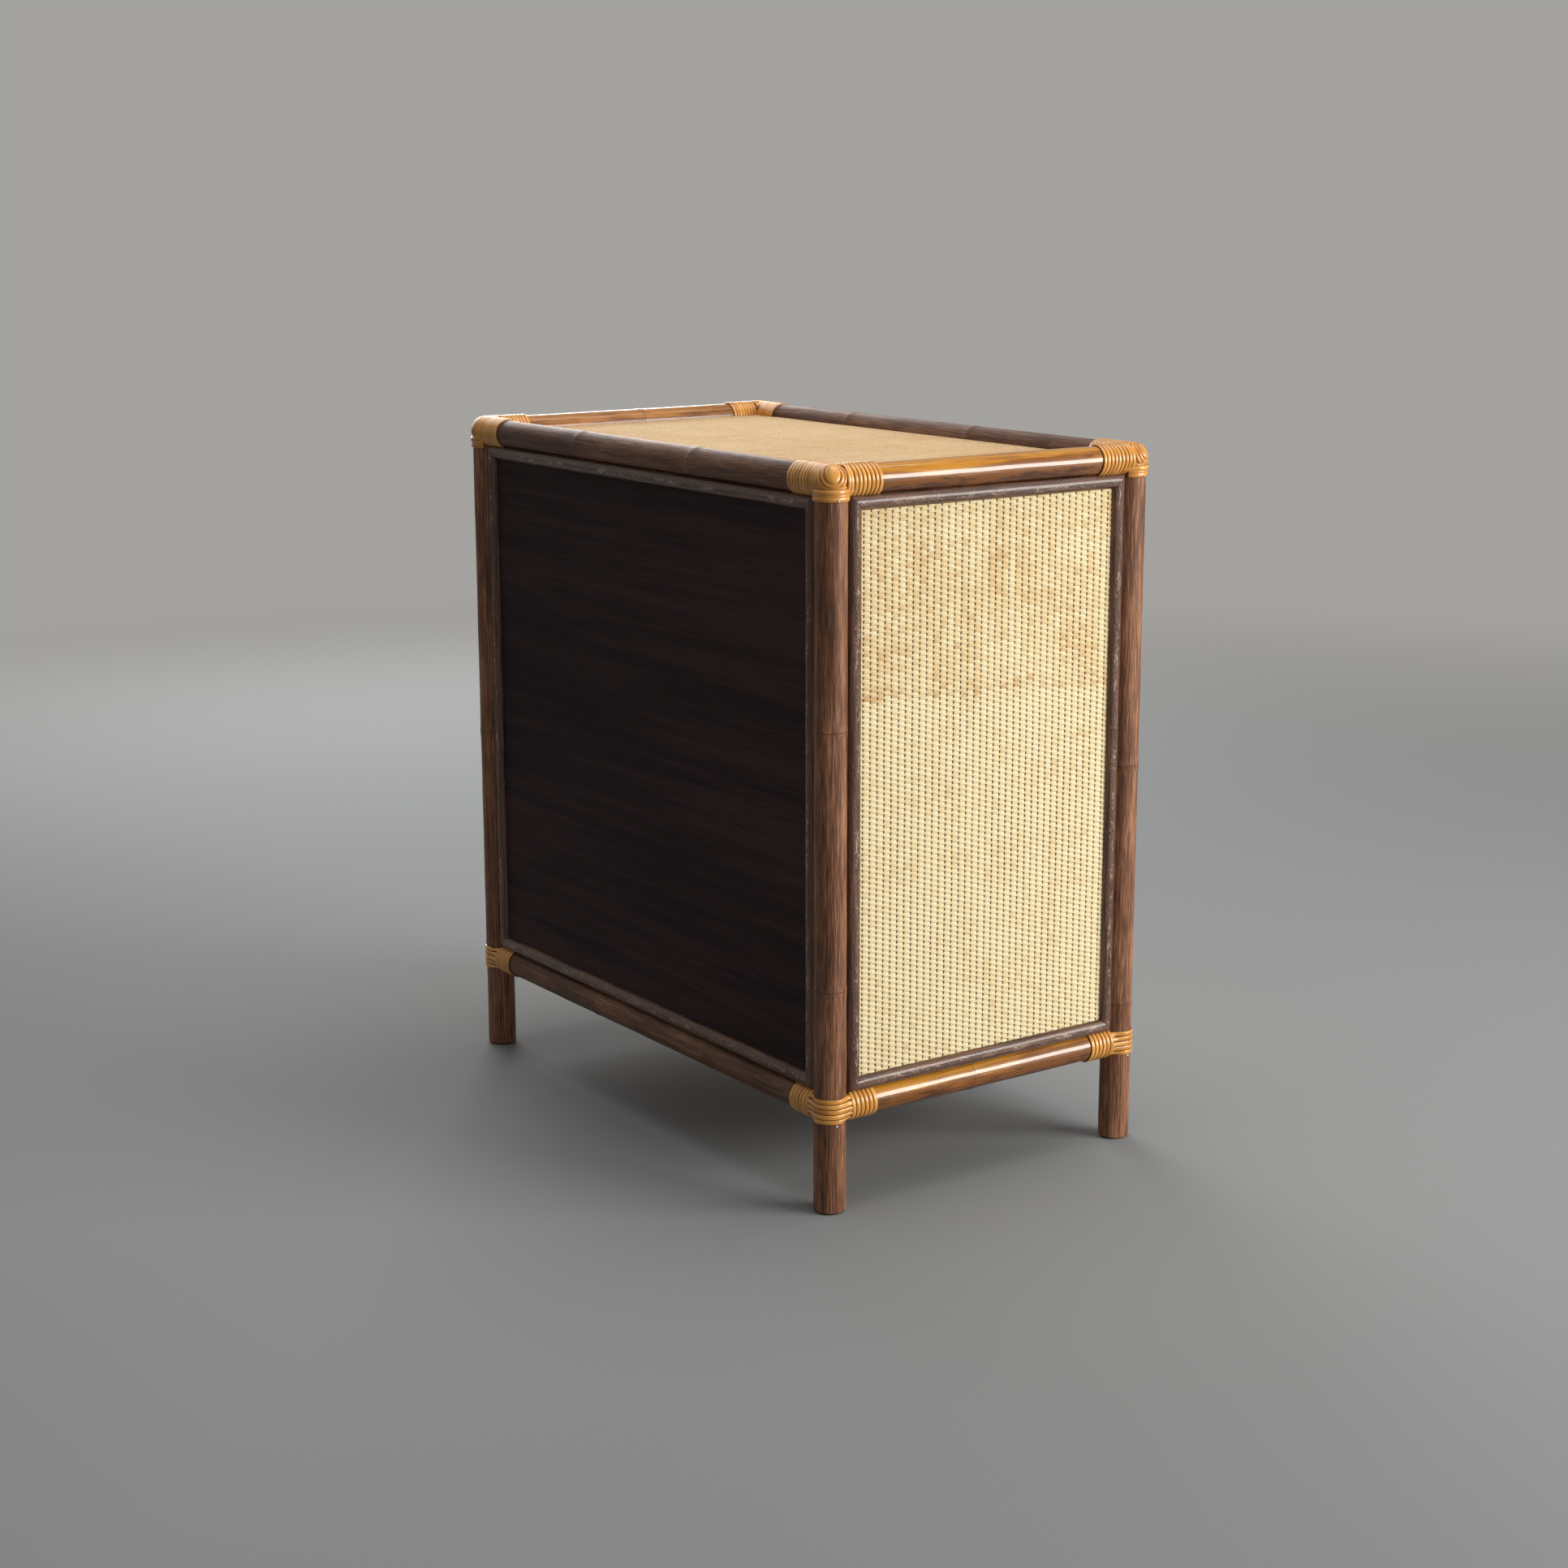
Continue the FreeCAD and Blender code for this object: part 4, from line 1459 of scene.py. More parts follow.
    def on_rail(self, distance: float, level: Level, row: Row, along_y: bool) -> Matrix:
        """The strand's placing where it leaves the post and tucks under a coil.

        Args:
            distance: from the post's axis along the rail.
            level: which joint it is part of.
            row: its height and flare.
            along_y: whether the rail runs along Y.

        Returns:
            The placing.
        """
        post_reach = self.layout.post_r + self.lie + row.flare
        rail_reach = self.layout.rail_r + self.lie - self.row_under
        turn = math.asin(max(min(row.rise / (self.layout.rail_r + self.lie), 1.0), -1.0))
        share = min(distance / self.merge, 1.0)
        share = share * share * (3.0 - 2.0 * share)
        offset = post_reach * (1.0 - share) + rail_reach * math.cos(turn) * share
        rise = row.rise * (1.0 - share) + rail_reach * math.sin(turn) * share
        tilt = turn * share
        outward = Vector((0.0, -math.cos(tilt), math.sin(tilt)))
        across = Vector((0.0, math.sin(tilt), math.cos(tilt)))
        origin = Vector((distance, -offset, self.layout.levels[level] + rise))
        if along_y:
            outward, across, origin = outward.yxz, across.yxz, origin.yxz
        return station(origin, across, outward)

    def hoop(self, hoop: Hoop, dice: random.Random) -> bmesh.types.BMesh:
        """A part turn over the top of the rail along +X, between the cap and the coil.

        Args:
            hoop: where it lies; it ends where it meets the strand on the other rail.
            dice: for its tone.

        Returns:
            The part turn.
        """
        middle = self.layout.levels[Level.TOP]
        radius = self.layout.rail_r + self.lie
        last = 360.0 + self.hoop_overlap - math.degrees(math.acos(hoop.distance / radius))
        stations = []
        for index in range(self.hoop_steps + 1):
            angle = -math.radians(hoop.first + (last - hoop.first) * index / self.hoop_steps)
            outward = Vector((0.0, math.cos(angle), math.sin(angle)))
            swell = self.hoop_swell * max(-math.cos(angle), 0.0) * (1.0 - hoop.distance / self.tuck)
            lean = self.hoop_lean * math.cos(angle) ** 2
            origin = Vector((hoop.distance - lean, 0.0, middle)) + outward * (radius + swell)
            stations.append(station(origin, Vector((1.0, 0.0, 0.0)), outward))
        return self.strand(self.cap_width, stations, dice.random())

    def cap_reach(self, way: Vector) -> float:
        """How far out the strand of a cap lies.

        Args:
            way: a direction from the cap's middle.

        Returns:
            The distance to the post's head or a rail.
        """
        post_r, rail_r = self.layout.post_r + self.lie, self.layout.rail_r + self.lie
        head_r = rail_r + self.cap_headroom
        smallest = 0.2
        ball = 1.0 / math.sqrt((way.x ** 2 + way.y ** 2) / post_r ** 2 + way.z ** 2 / head_r ** 2)
        over = [rail_r / math.sqrt(max(1.0 - part ** 2, smallest)) for part in (way.x, way.y) if part > 0.0]
        return max([ball] + over)

    def cap_way(self, turn: float, spread: Sides) -> Vector:
        """Direction on the cap at an angle round its eye.

        Args:
            turn: angle round the eye, in radians; 0 is sideways, a quarter turn is up.
            spread: degrees away from the eye on the right, upper, left and lower side.

        Returns:
            The direction from the cap's middle.
        """
        rise, swing = math.radians(self.cap_rise), math.radians(self.cap_swing)
        eye = Vector((-math.cos(swing) * math.cos(rise), -math.sin(swing) * math.cos(rise), math.sin(rise)))
        side = Vector((math.sin(swing), -math.cos(swing), 0.0))
        up = side.cross(eye)
        up = up if up.z > 0.0 else -up
        right, upper, left, lower = spread
        wide = left if math.cos(turn) > 0.0 else right
        high = upper if math.sin(turn) > 0.0 else lower
        power = self.cap_squareness
        size = (abs(math.cos(turn) / wide) ** power + abs(math.sin(turn) / high) ** power) ** (-1.0 / power)
        away = math.radians(size)
        return eye * math.cos(away) + (side * math.cos(turn) + up * math.sin(turn)) * math.sin(away)

    def cap_spiral(self, dice: random.Random) -> bmesh.types.BMesh:
        """The strand that winds outwards round the eye of a cap, over the head of the post.

        Args:
            dice: for the tones of its half turns.

        Returns:
            The strand.
        """
        centre = Vector((0.0, 0.0, self.layout.levels[Level.TOP]))
        count = round(self.cap_turns * self.cap_steps)
        points, ways = [], []
        for index in range(count + 1):
            done = index / self.cap_steps
            spread = tuple(first + growth * done for first, growth in zip(self.cap_first, self.cap_growth))
            way = self.cap_way(2.0 * math.pi * done - math.radians(self.cap_start), spread)
            points.append(centre + way * self.cap_reach(way))
            ways.append(way)
        tones = [dice.random() for _ in range(self.cap_tones)]
        stations = []
        for index, (point, way) in enumerate(zip(points, ways)):
            ahead = points[min(index + 1, count)] - points[max(index - 1, 0)]
            stations.append(station(point, way.cross(ahead), way))
        half_turn = self.cap_steps // 2
        return self.strand(
            self.cap_width, stations, lambda number: tones[number // half_turn % self.cap_tones]
        )

    def eye(self, dice: random.Random) -> bmesh.types.BMesh:
        """The smooth oval end of the cane in the middle of a cap.

        Args:
            dice: for its tone.

        Returns:
            The oval.
        """
        mesh = blank(STRAND_MARKS)
        made = bmesh.ops.create_uvsphere(mesh, u_segments=24, v_segments=14, radius=1.0)["verts"]
        tone, across = mesh.verts.layers.float["tone"], mesh.verts.layers.float["across"]
        # The eye's tone is kept towards straw, partly as painted highlight on it.
        value = dice.uniform(0.7, 0.9)
        for vertex in made:
            vertex[tone] = value
            vertex[across] = 0.55 * vertex.co.x
        way = self.cap_way(0.0, (0.01, 0.01, 0.01, 0.01))
        middle = way * (self.cap_reach(way) - self.eye_sunk)
        middle.z += self.layout.levels[Level.TOP]
        size = Matrix.Diagonal((*self.eye_size, 1.0))
        bmesh.ops.transform(mesh, matrix=facing(middle, way) @ size, verts=made)
        return mesh

    def joint(self, level: Level, dice: random.Random) -> bmesh.types.BMesh:
        """Everything bound round one corner at one level.

        Args:
            level: the upper joint has a cap over the head of the post.
            dice: for the unevenness of the winding.

        Returns:
            The joint, with the post's axis at the origin and the table towards +X and +Y.
        """
        mesh = blank(STRAND_MARKS)
        swap = Matrix(((0.0, 1.0, 0.0), (1.0, 0.0, 0.0), (0.0, 0.0, 1.0))).to_4x4()
        append(mesh, self.coil(level, dice))
        append(mesh, self.coil(level, dice), swap)
        if level is Level.BOTTOM:
            for number in range(-2, 3):
                append(mesh, self.row(level, Row(self.row_pitch * number, self.row_width), dice))
        else:
            append(mesh, self.cap_spiral(dice))
            append(mesh, self.eye(dice))
            append(mesh, self.row(level, self.collar, dice))
            for row in self.skirt:
                append(mesh, self.skirt_row(row, dice))
            for hoop in self.hoops:
                append(mesh, self.hoop(hoop, dice))
            for hoop in self.cross_hoops:
                append(mesh, self.hoop(hoop, dice), swap)
            for row in self.under_cap:
                append(mesh, self.skirt_row(row, dice))
        turn_out(mesh)
        return mesh

    def nail(self, height: float, proud: float) -> bmesh.types.BMesh:
        """The small round-headed nail that holds a strand's end, on the end side of a post.

        Args:
            height: over the floor.
            proud: how far its seat stands off the post.

        Returns:
            The nail, with the post's axis at the origin.
        """
        mesh = bmesh.new()
        turn = math.radians(self.nail_turn)
        outward = Vector((-math.cos(turn), -math.sin(turn), 0.0))
        seat = outward * (self.layout.post_r + proud) + Vector((0.0, 0.0, height))
        profile = [(width * self.nail_r, rise * self.nail_r) for width, rise in self.nail_shape]
        turned(mesh, profile, facing(seat, outward), 14)
        return mesh

    def build(self) -> None:
        """Makes the bindings of every corner, and their nails."""
        strand = StrandFinish().make()
        steel = MetalFinish("nail_steel", (0.70, 0.68, 0.64), (0.36, 0.33, 0.30)).make()
        nails = bmesh.new()
        for level in Level:
            replaced = ("bindings_" + level.value,)
            for number, corner in enumerate(CORNERS):
                mesh = self.joint(level, random.Random(WINDINGS[level].seed + number))
                bmesh.ops.transform(mesh, matrix=self.layout.corner(corner), verts=mesh.verts)
                bmesh.ops.recalc_face_normals(mesh, faces=mesh.faces)
                name = "binding_" + level.value + "_" + corner
                publish(mesh, name, strand, stands_for=replaced, crease=50.0)
        below_rows = self.layout.levels[Level.BOTTOM] - 2.5 * self.row_pitch - self.nail_below_rows
        below_cap = self.layout.levels[Level.TOP] - self.nail_below_cap
        for corner in CORNERS:
            for height, proud in ((below_rows, -self.lie), (below_cap, self.thick - self.lie)):
                append(nails, self.nail(height, proud), self.layout.corner(corner))
        turn_out(nails)
        publish(nails, "strand_nails", steel)


# ---------------------------------------------------------------------------- weave
@dataclass
class Weave:
    """Close weave in relief: every bump is a weft strand passing over a hidden warp."""

    column: float = 6.9 * MM
    bump: float = 4.4 * MM
    relief: float = 0.95 * MM
    across_steps: int = 6
    up_steps: int = 4
    squareness: float = 3.2
    fullness: float = 2.6
    crowd: float = 0.5
    waver: float = 0.35 * MM
    uneven: float = 0.22
    slot_rise: float = 0.7
    slot_half: float = 0.36

    def height(self, within: float, lift: float) -> float:
        """Relief at a place of a bump, from 0 to 1.

        Args:
            within: place across the column, from 0 to 1.
            lift: place up the bump, from 0 to 1.

        Returns:
            The relief; it falls to 0 in the short slot beside the upper part of each bump.
        """
        over = 1.0 - abs(2.0 * within - 1.0) ** self.squareness
        up = 1.0 - abs(2.0 * lift - 1.0) ** self.fullness
        slot = self.slot_rise if within > 0.5 else self.slot_rise - 0.5
        away = abs((lift - slot + 0.5) % 1.0 - 0.5) / self.slot_half
        touch = 0.5 * min(away, 1.0) ** 2
        groove = (0.25 + 0.65 * within) * (1.0 - up)
        return over * (1.0 - groove) + (1.0 - over) * touch

    def sheet(
        self, columns: int, courses: int, first_course: int, thick: float, place: Matrix
    ) -> bmesh.types.BMesh:
        """A sheet of weave, closed at the back.

        Args:
            columns: how many columns it has.
            courses: how many bumps each column has.
            first_course: number of the lowest bump, so that sheets above each other match.
            thick: from the sheet's back to the foot of the relief.
            place: its lower middle, with X along the wall, Y up and Z outwards.

        Returns:
            The sheet.
        """
        mesh = blank(("column", "course"))
        marks = mesh.verts.layers.float
        half = columns / 2.0
        hair = 1e-4
        steps_x, steps_y = columns * self.across_steps, courses * self.up_steps
        bmesh.ops.create_grid(mesh, x_segments=steps_x, y_segments=steps_y, size=0.5)
        for vertex in mesh.verts:
            u = (vertex.co.x + 0.5) * columns
            v = (vertex.co.y + 0.5) * courses + first_course
            number = math.floor(u + hair)
            even = u - number
            within = even - self.crowd * math.sin(2.0 * math.pi * even) / (2.0 * math.pi)
            shifted = v + 0.5 * (number % 2)
            row = math.floor(shifted + hair)
            size = 1.0 + self.uneven * noise.noise(Vector((row * 0.71, number * 1.37, 2.0)))
            stray = self.waver * noise.noise(Vector((v * 0.11, u * 0.31, 7.0)))
            lean = self.waver * noise.noise(Vector((u * 0.05, v * 0.2, 4.0)))
            vertex.co.x = (number + within - half) * self.column + stray
            vertex.co.y = (v - first_course) * self.bump + lean
            vertex.co.z = thick + self.relief * size * self.height(within, shifted - row)
            vertex[marks["column"]] = number + within
            vertex[marks["course"]] = v
        close_back(mesh, 0.0)
        bmesh.ops.transform(mesh, matrix=place, verts=mesh.verts)
        bmesh.ops.recalc_face_normals(mesh, faces=mesh.faces)
        return mesh


@dataclass
class Beading:
    """Half-round beading with mitred corners round a panel."""

    width: float = 12.0 * MM
    rise: float = 5.0 * MM
    gap: float = 0.15 * MM
    spacing: float = 8.0 * MM
    facets: int = 10
    uneven: float = 0.22 * MM
    dent_size: Fineness = (160.0, 34.0)
    flat_share: float = 0.2
    end_room: float = 0.3 * MM

    def section(self) -> List[Vector]:
        """Half an ellipse, centred on the strip.

        Returns:
            Its corners, over a flat back.
        """
        corners = []
        for index in range(self.facets + 1):
            turn = math.pi * index / self.facets
            corners.append(Vector((-math.cos(turn) * self.width / 2.0, math.sin(turn) * self.rise, 0.0)))
        return corners

    def frame(
        self, half: float, foot: float, head: float, face: float, place: Matrix, seed: int
    ) -> bmesh.types.BMesh:
        """Four lengths round a panel.

        Args:
            half: half the frame's width, on its outer edge.
            foot: height of its lower edge.
            head: height of its upper edge.
            face: how far out from the wall's plane its back lies.
            place: the wall's own axes.
            seed: for the tone and the dents of each length.

        Returns:
            The four lengths, each closed.
        """
        mesh = blank(STRAND_MARKS)
        dice = random.Random(seed)
        middle = (foot + head) / 2.0
        across, along_wall = self.dent_size
        for quarter in range(4):
            reach, out = (half, middle - foot) if quarter % 2 == 0 else (middle - foot, half)
            part = blank(STRAND_MARKS)
            count = max(round(2.0 * reach / self.spacing), 4)
            stations = []
            for index in range(count + 1):
                x = -reach + 2.0 * reach * index / count
                origin = Vector((x, -face, -out + self.width / 2.0))
                stations.append(station(origin, Axis.Z.way(), -Axis.Y.way()))
            rings = sweep(part, self.section(), stations, dice.random())
            phase = dice.uniform(0.0, 50.0)
            for number, ring in enumerate(rings):
                for vertex in ring:
                    inward = vertex.co.z + out
                    out_by = -vertex.co.y - face
                    if number in (0, count):
                        sign = 1.0 if number == 0 else -1.0
                        vertex.co.x += sign * (inward + self.gap)
                    elif out_by > self.flat_share * self.rise:
                        spot = Vector((vertex.co.x * along_wall + phase, inward * across, phase))
                        vertex.co.y -= self.uneven * noise.noise(spot)
                    if 0 < number < count:
                        limit = reach - inward - self.gap - self.end_room
                        vertex.co.x = min(max(vertex.co.x, -limit), limit)
            turn = Matrix.Translation((0.0, 0.0, middle)) @ Matrix.Rotation(quarter * math.pi / 2.0, 4, "Y")
            append(mesh, part, turn)
        turn_out(mesh)
        bmesh.ops.transform(mesh, matrix=place, verts=mesh.verts)
        return mesh


@dataclass
class EndPanels:
    """Woven panels on the two ends, on their boards, with beading round them."""

    layout: Layout
    columns: int = 38
    courses: int = 104
    sheet_thick: float = 0.25 * MM

    def build(self, weave: bpy.types.Material, bead: bpy.types.Material) -> None:
        """Makes both ends.

        Args:
            weave: finish of the webbing.
            bead: finish of the beading.
        """
        pattern = Weave()
        for seed, wall in enumerate((Wall.LEFT, Wall.RIGHT)):
            side = wall.name.lower()
            placing = on_wall(wall, self.layout)
            low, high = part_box("end_webbing_" + side)
            bead_low, bead_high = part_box("end_beading_" + side)
            back = min(abs(low.x), abs(high.x)) - self.layout.post_x
            middle = (bead_low.z + bead_high.z) / 2.0
            foot = middle - self.courses * pattern.bump / 2.0
            outward = facing(Vector((0.0, -back, foot)), -Axis.Y.way())
            sheet = pattern.sheet(self.columns, self.courses, 0, self.sheet_thick, placing @ outward)
            replaced = ("end_webbing_" + side,)
            publish(sheet, "end_weave_" + side, weave, stands_for=replaced, crease=80.0)
            face = max(abs(low.x), abs(high.x)) - self.layout.post_x
            frame = Beading().frame(bead_high.y, bead_low.z, bead_high.z, face, placing, 5 + seed)
            publish(frame, "end_bead_" + side, bead, stands_for=("end_beading_" + side,))


@dataclass
class BackPanel:
    """The stained board at the back, with beading round it; its stain is set darker, partly as painted shade.
    """

    layout: Layout

    def build(self, nodes: Dict[str, bpy.types.Object], bead: bpy.types.Material) -> None:
        """Dresses the board and makes the beading.

        Args:
            nodes: the frame's nodes.
            bead: finish of the beading.
        """
        # The stain's colours are set darker than the stained board would show under even light, partly as
        # painted shade on the back.
        stain = BoardFinish(
            "stained_and_shaded_ply",
            Axis.X,
            dark=(0.0155, 0.0066, 0.0076),
            light=(0.050, 0.0215, 0.0235),
            pore=(0.008, 0.0036, 0.0038),
            shine=0.14,
        )
        dress(nodes, ("back_panel",), stain.make())
        low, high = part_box("back_beading")
        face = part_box("back_panel")[1].y - self.layout.post_y
        frame = Beading().frame(high.x, low.z, high.z, face, on_wall(Wall.BACK, self.layout), 9)
        publish(frame, "back_bead", bead, stands_for=("back_beading",))


# ------------------------------------------------------------------------------ top
@dataclass
class WovenTop:
    """The cloth set down between the upper rails, over its board.

    The coils that bind the rails reach in over coil_room from a post's axis, as far as coil_end.
    """

    layout: Layout
    thread: float = 1.5 * MM
    wave: float = 0.16 * MM
    wave_share: float = 0.8
    sag: float = 0.4 * MM
    coil_room: float = 14.3 * MM
    coil_end: float = 42.6 * MM

    def cloth(self, low: Vector, high: Vector) -> bmesh.types.BMesh:
        """The upper side of the cloth: threads that go over and under, and a slight sag.

        Args:
            low: the lower corner of its box.
            high: the upper corner of its box.

        Returns:
            An open sheet with a vertex where two threads cross.
        """
        mesh = bmesh.new()
        size_x, size_y = high.x - low.x, high.y - low.y
        count_x, count_y = round(size_x / self.thread), round(size_y / self.thread)
        bmesh.ops.create_grid(mesh, x_segments=count_x, y_segments=count_y, size=0.5)
        surface = high.z - self.wave
        for vertex in mesh.verts:
            column = round((vertex.co.x + 0.5) * count_x)
            row = round((vertex.co.y + 0.5) * count_y)
            over = self.wave_share if (column + row) % 2 else -self.wave_share
            sag = self.sag * abs(noise.noise(Vector((column * 0.013, row * 0.017, 3.0))))
            vertex.co.x = -size_x / 2.0 + size_x * column / count_x
            vertex.co.y = -size_y / 2.0 + size_y * row / count_y
            vertex.co.z = surface + over * self.wave - sag
        return mesh

    def notch(self, mesh: bmesh.types.BMesh) -> None:
        """Takes the corners out where the posts and the coils are.

        Args:
            mesh: the open sheet.
        """
        near_x, far_x = self.layout.post_x - self.coil_room, self.layout.post_x - self.coil_end
        near_y, far_y = self.layout.post_y - self.coil_room, self.layout.post_y - self.coil_end
        for axis, distance in ((Axis.X, near_x), (Axis.X, far_x), (Axis.Y, near_y), (Axis.Y, far_y)):
            for sign in (-1.0, 1.0):
                cut(mesh, axis.way() * sign * distance, axis.way())
        notches = []
        for face in mesh.faces:
            middle = face.calc_center_median()
            in_x_coil = abs(middle.y) > near_y and abs(middle.x) > far_x
            in_y_coil = abs(middle.x) > near_x and abs(middle.y) > far_y
            if in_x_coil or in_y_coil:
                notches.append(face)
        bmesh.ops.delete(mesh, geom=notches, context="FACES")

    def build(self, nodes: Dict[str, bpy.types.Object], board: bpy.types.Material) -> None:
        """Makes the cloth and dresses the board under it.

        Args:
            nodes: the frame's nodes.
            board: finish of the board.
        """
        dress(nodes, ("top_board",), board)
        low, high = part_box("top_webbing")
        mesh = self.cloth(low, high)
        self.notch(mesh)
        close_back(mesh, low.z)
        bmesh.ops.recalc_face_normals(mesh, faces=mesh.faces)
        finish = ClothFinish(self.thread).make()
        publish(mesh, "top_cloth", finish, stands_for=("top_webbing",), crease=80.0)


# --------------------------------------------------------------------------- inside
@dataclass
class Carcass:
    """Boards, cleats and uprights inside the walls."""

    eased: float = 0.7 * MM

    def build(self, nodes: Dict[str, bpy.types.Object], dark: bpy.types.Material) -> bpy.types.Material:
        """Dresses the inner pieces.

        Args:
            nodes: the frame's nodes.
            dark: finish of the uprights beside the door.

        Returns:
            The finish of the inner boards.
        """
        colours = ((0.36, 0.21, 0.11), (0.55, 0.36, 0.20), (0.20, 0.11, 0.055))
        level = BoardFinish("inner_board", Axis.X, *colours, roughness=0.55).make()
        upright = BoardFinish("inner_upright", Axis.Z, *colours, roughness=0.6, figure=0.6).make()
        cleat = BoardFinish("inner_cleat", Axis.Y, *colours, roughness=0.6, figure=0.6).make()
        boards = ("shelf", "floor_board")
        cleats = ("top_cleats", "shelf_cleats")
        jambs = ("jamb_latch_side", "jamb_hinge_side")
        hidden = ("end_panel_left", "end_panel_right", "batten_back_left", "batten_back_right")
        for names, finish in ((boards, level), (cleats, cleat), (hidden, upright), (jambs, dark)):
            dress(nodes, names, finish)
        for name in boards + cleats + jambs:
            ease(nodes[name], self.eased)
        return level


# ----------------------------------------------------------------------------- door
@dataclass
class Knob:
    """A turned knob.  Its sizes are shares of its own radius and length."""

    flange: float = 0.69
    flange_top: float = 0.07
    rounding: float = 0.03
    lip: float = 0.64
    lip_at: float = 0.105
    waist: float = 0.405
    waist_at: float = 0.25
    head: float = 0.995
    head_at: float = 0.74
    fullness: float = 2.5
    steps: int = 8
    facets: int = 48

    def profile(self, radius: float, length: float) -> Outline:
        """The outline: flange, hollow, swelling neck and domed head.

        Args:
            radius: of the head.
            length: from the door to the top of the head.

        Returns:
            Radius and height of each point, from axis to axis.
        """
        points = [
            (0.0, 0.0),
            (self.flange - self.rounding, 0.0),
            (self.flange, self.rounding),
            (self.flange, self.flange_top),
        ]
        shares = [index / self.steps for index in range(self.steps + 1)]
        for share in shares:
            turn = math.pi / 2.0 * share
            hollow = (self.lip - self.waist) * math.sin(turn)
            points.append((self.lip - hollow, self.waist_at - (self.waist_at - self.lip_at) * math.cos(turn)))
        for share in shares[1:]:
            swelling = (self.head - self.waist) * share * share * (3.0 - 2.0 * share)
            points.append((self.waist + swelling, self.waist_at + (self.head_at - self.waist_at) * share))
        power = 2.0 / self.fullness
        for share in shares[1:-1]:
            turn = math.pi / 2.0 * share
            rise = (1.0 - self.head_at) * math.sin(turn) ** power
            points.append((self.head * math.cos(turn) ** power, self.head_at + rise))
        points.append((0.0, 1.0))
        return [(width * radius, out * length) for width, out in points]

    def build(self) -> None:
        """Makes the knob where the frame has it."""
        low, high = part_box("door_knob")
        seat = Vector(((low.x + high.x) / 2.0, high.y, (low.z + high.z) / 2.0))
        profile = self.profile((high.x - low.x) / 2.0, high.y - low.y)
        mesh = bmesh.new()
        turned(mesh, profile, facing(seat, -Axis.Y.way()), self.facets)
        turn_out(mesh)
        publish(mesh, "knob", KnobFinish().make(), Body.DOOR, ("door_knob",), crease=60.0)


@dataclass
class Door:
    """The door: a board with webbing and beading like the ends, and a turned knob.

    Its webbing is made in two halves, to keep each under the limit for one piece.
    """

    layout: Layout
    columns: int = 67
    courses: int = 100
    sheet_thick: float = 0.25 * MM
    eased: float = 0.7 * MM
    shank_r: float = 2.0 * MM

    def build(
        self,
        nodes: Dict[str, bpy.types.Object],
        weave: bpy.types.Material,
        bead: bpy.types.Material,
        dark: bpy.types.Material,
    ) -> None:
        """Makes the door's pieces.

        Args:
            nodes: the frame's nodes.
            weave: finish of the webbing.
            bead: finish of the beading.
            dark: finish of the board.
        """
        dress(nodes, ("door_panel",), dark)
        ease(nodes["door_panel"], self.eased)
        pattern = Weave()
        low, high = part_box("door_webbing")
        placing = on_wall(Wall.FRONT, self.layout)
        back = -high.y - self.layout.post_y
        middle = (low.z + high.z) / 2.0
        half = self.courses // 2
        for part, first in (("lower", 0), ("upper", half)):
            foot = middle + (first - half) * pattern.bump
            outward = facing(Vector((0.0, -back, foot)), -Axis.Y.way())
            sheet = pattern.sheet(self.columns, half, first, self.sheet_thick, placing @ outward)
            name = "door_weave_" + part
            publish(sheet, name, weave, Body.DOOR, ("door_webbing",), crease=80.0)
        bead_low, bead_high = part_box("door_beading")
        face = -bead_high.y - self.layout.post_y
        frame = Beading().frame(bead_high.x, bead_low.z, bead_high.z, face, placing, 13)
        publish(frame, "door_bead", bead, Body.DOOR, ("door_beading",))
        Knob().build()
        self.screw()

    def screw(self) -> None:
        """The slotted screw that holds the knob, seen inside the door."""
        low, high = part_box("knob_screw")
        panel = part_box("door_panel")[1].y
        radius = (high.x - low.x) / 2.0
        middle = Vector(((low.x + high.x) / 2.0, panel, (low.z + high.z) / 2.0))
        mesh = bmesh.new()
        slotted_head(mesh, facing(middle, Axis.Y.way()), radius, high.y - panel)
        shank = bmesh.new()
        length = panel - low.y
        point = length - self.shank_r
        profile = ((0.0, 0.0), (self.shank_r, 0.0), (self.shank_r, point), (0.0, length))
        turned(shank, profile, facing(middle, -Axis.Y.way()), 16)
        turn_out(shank)
        append(mesh, shank)
        steel = MetalFinish("screw_steel", (0.74, 0.73, 0.70), (0.45, 0.43, 0.40)).make()
        publish(mesh, "knob_screw_head", steel, Body.DOOR, ("knob_screw",), crease=30.0)


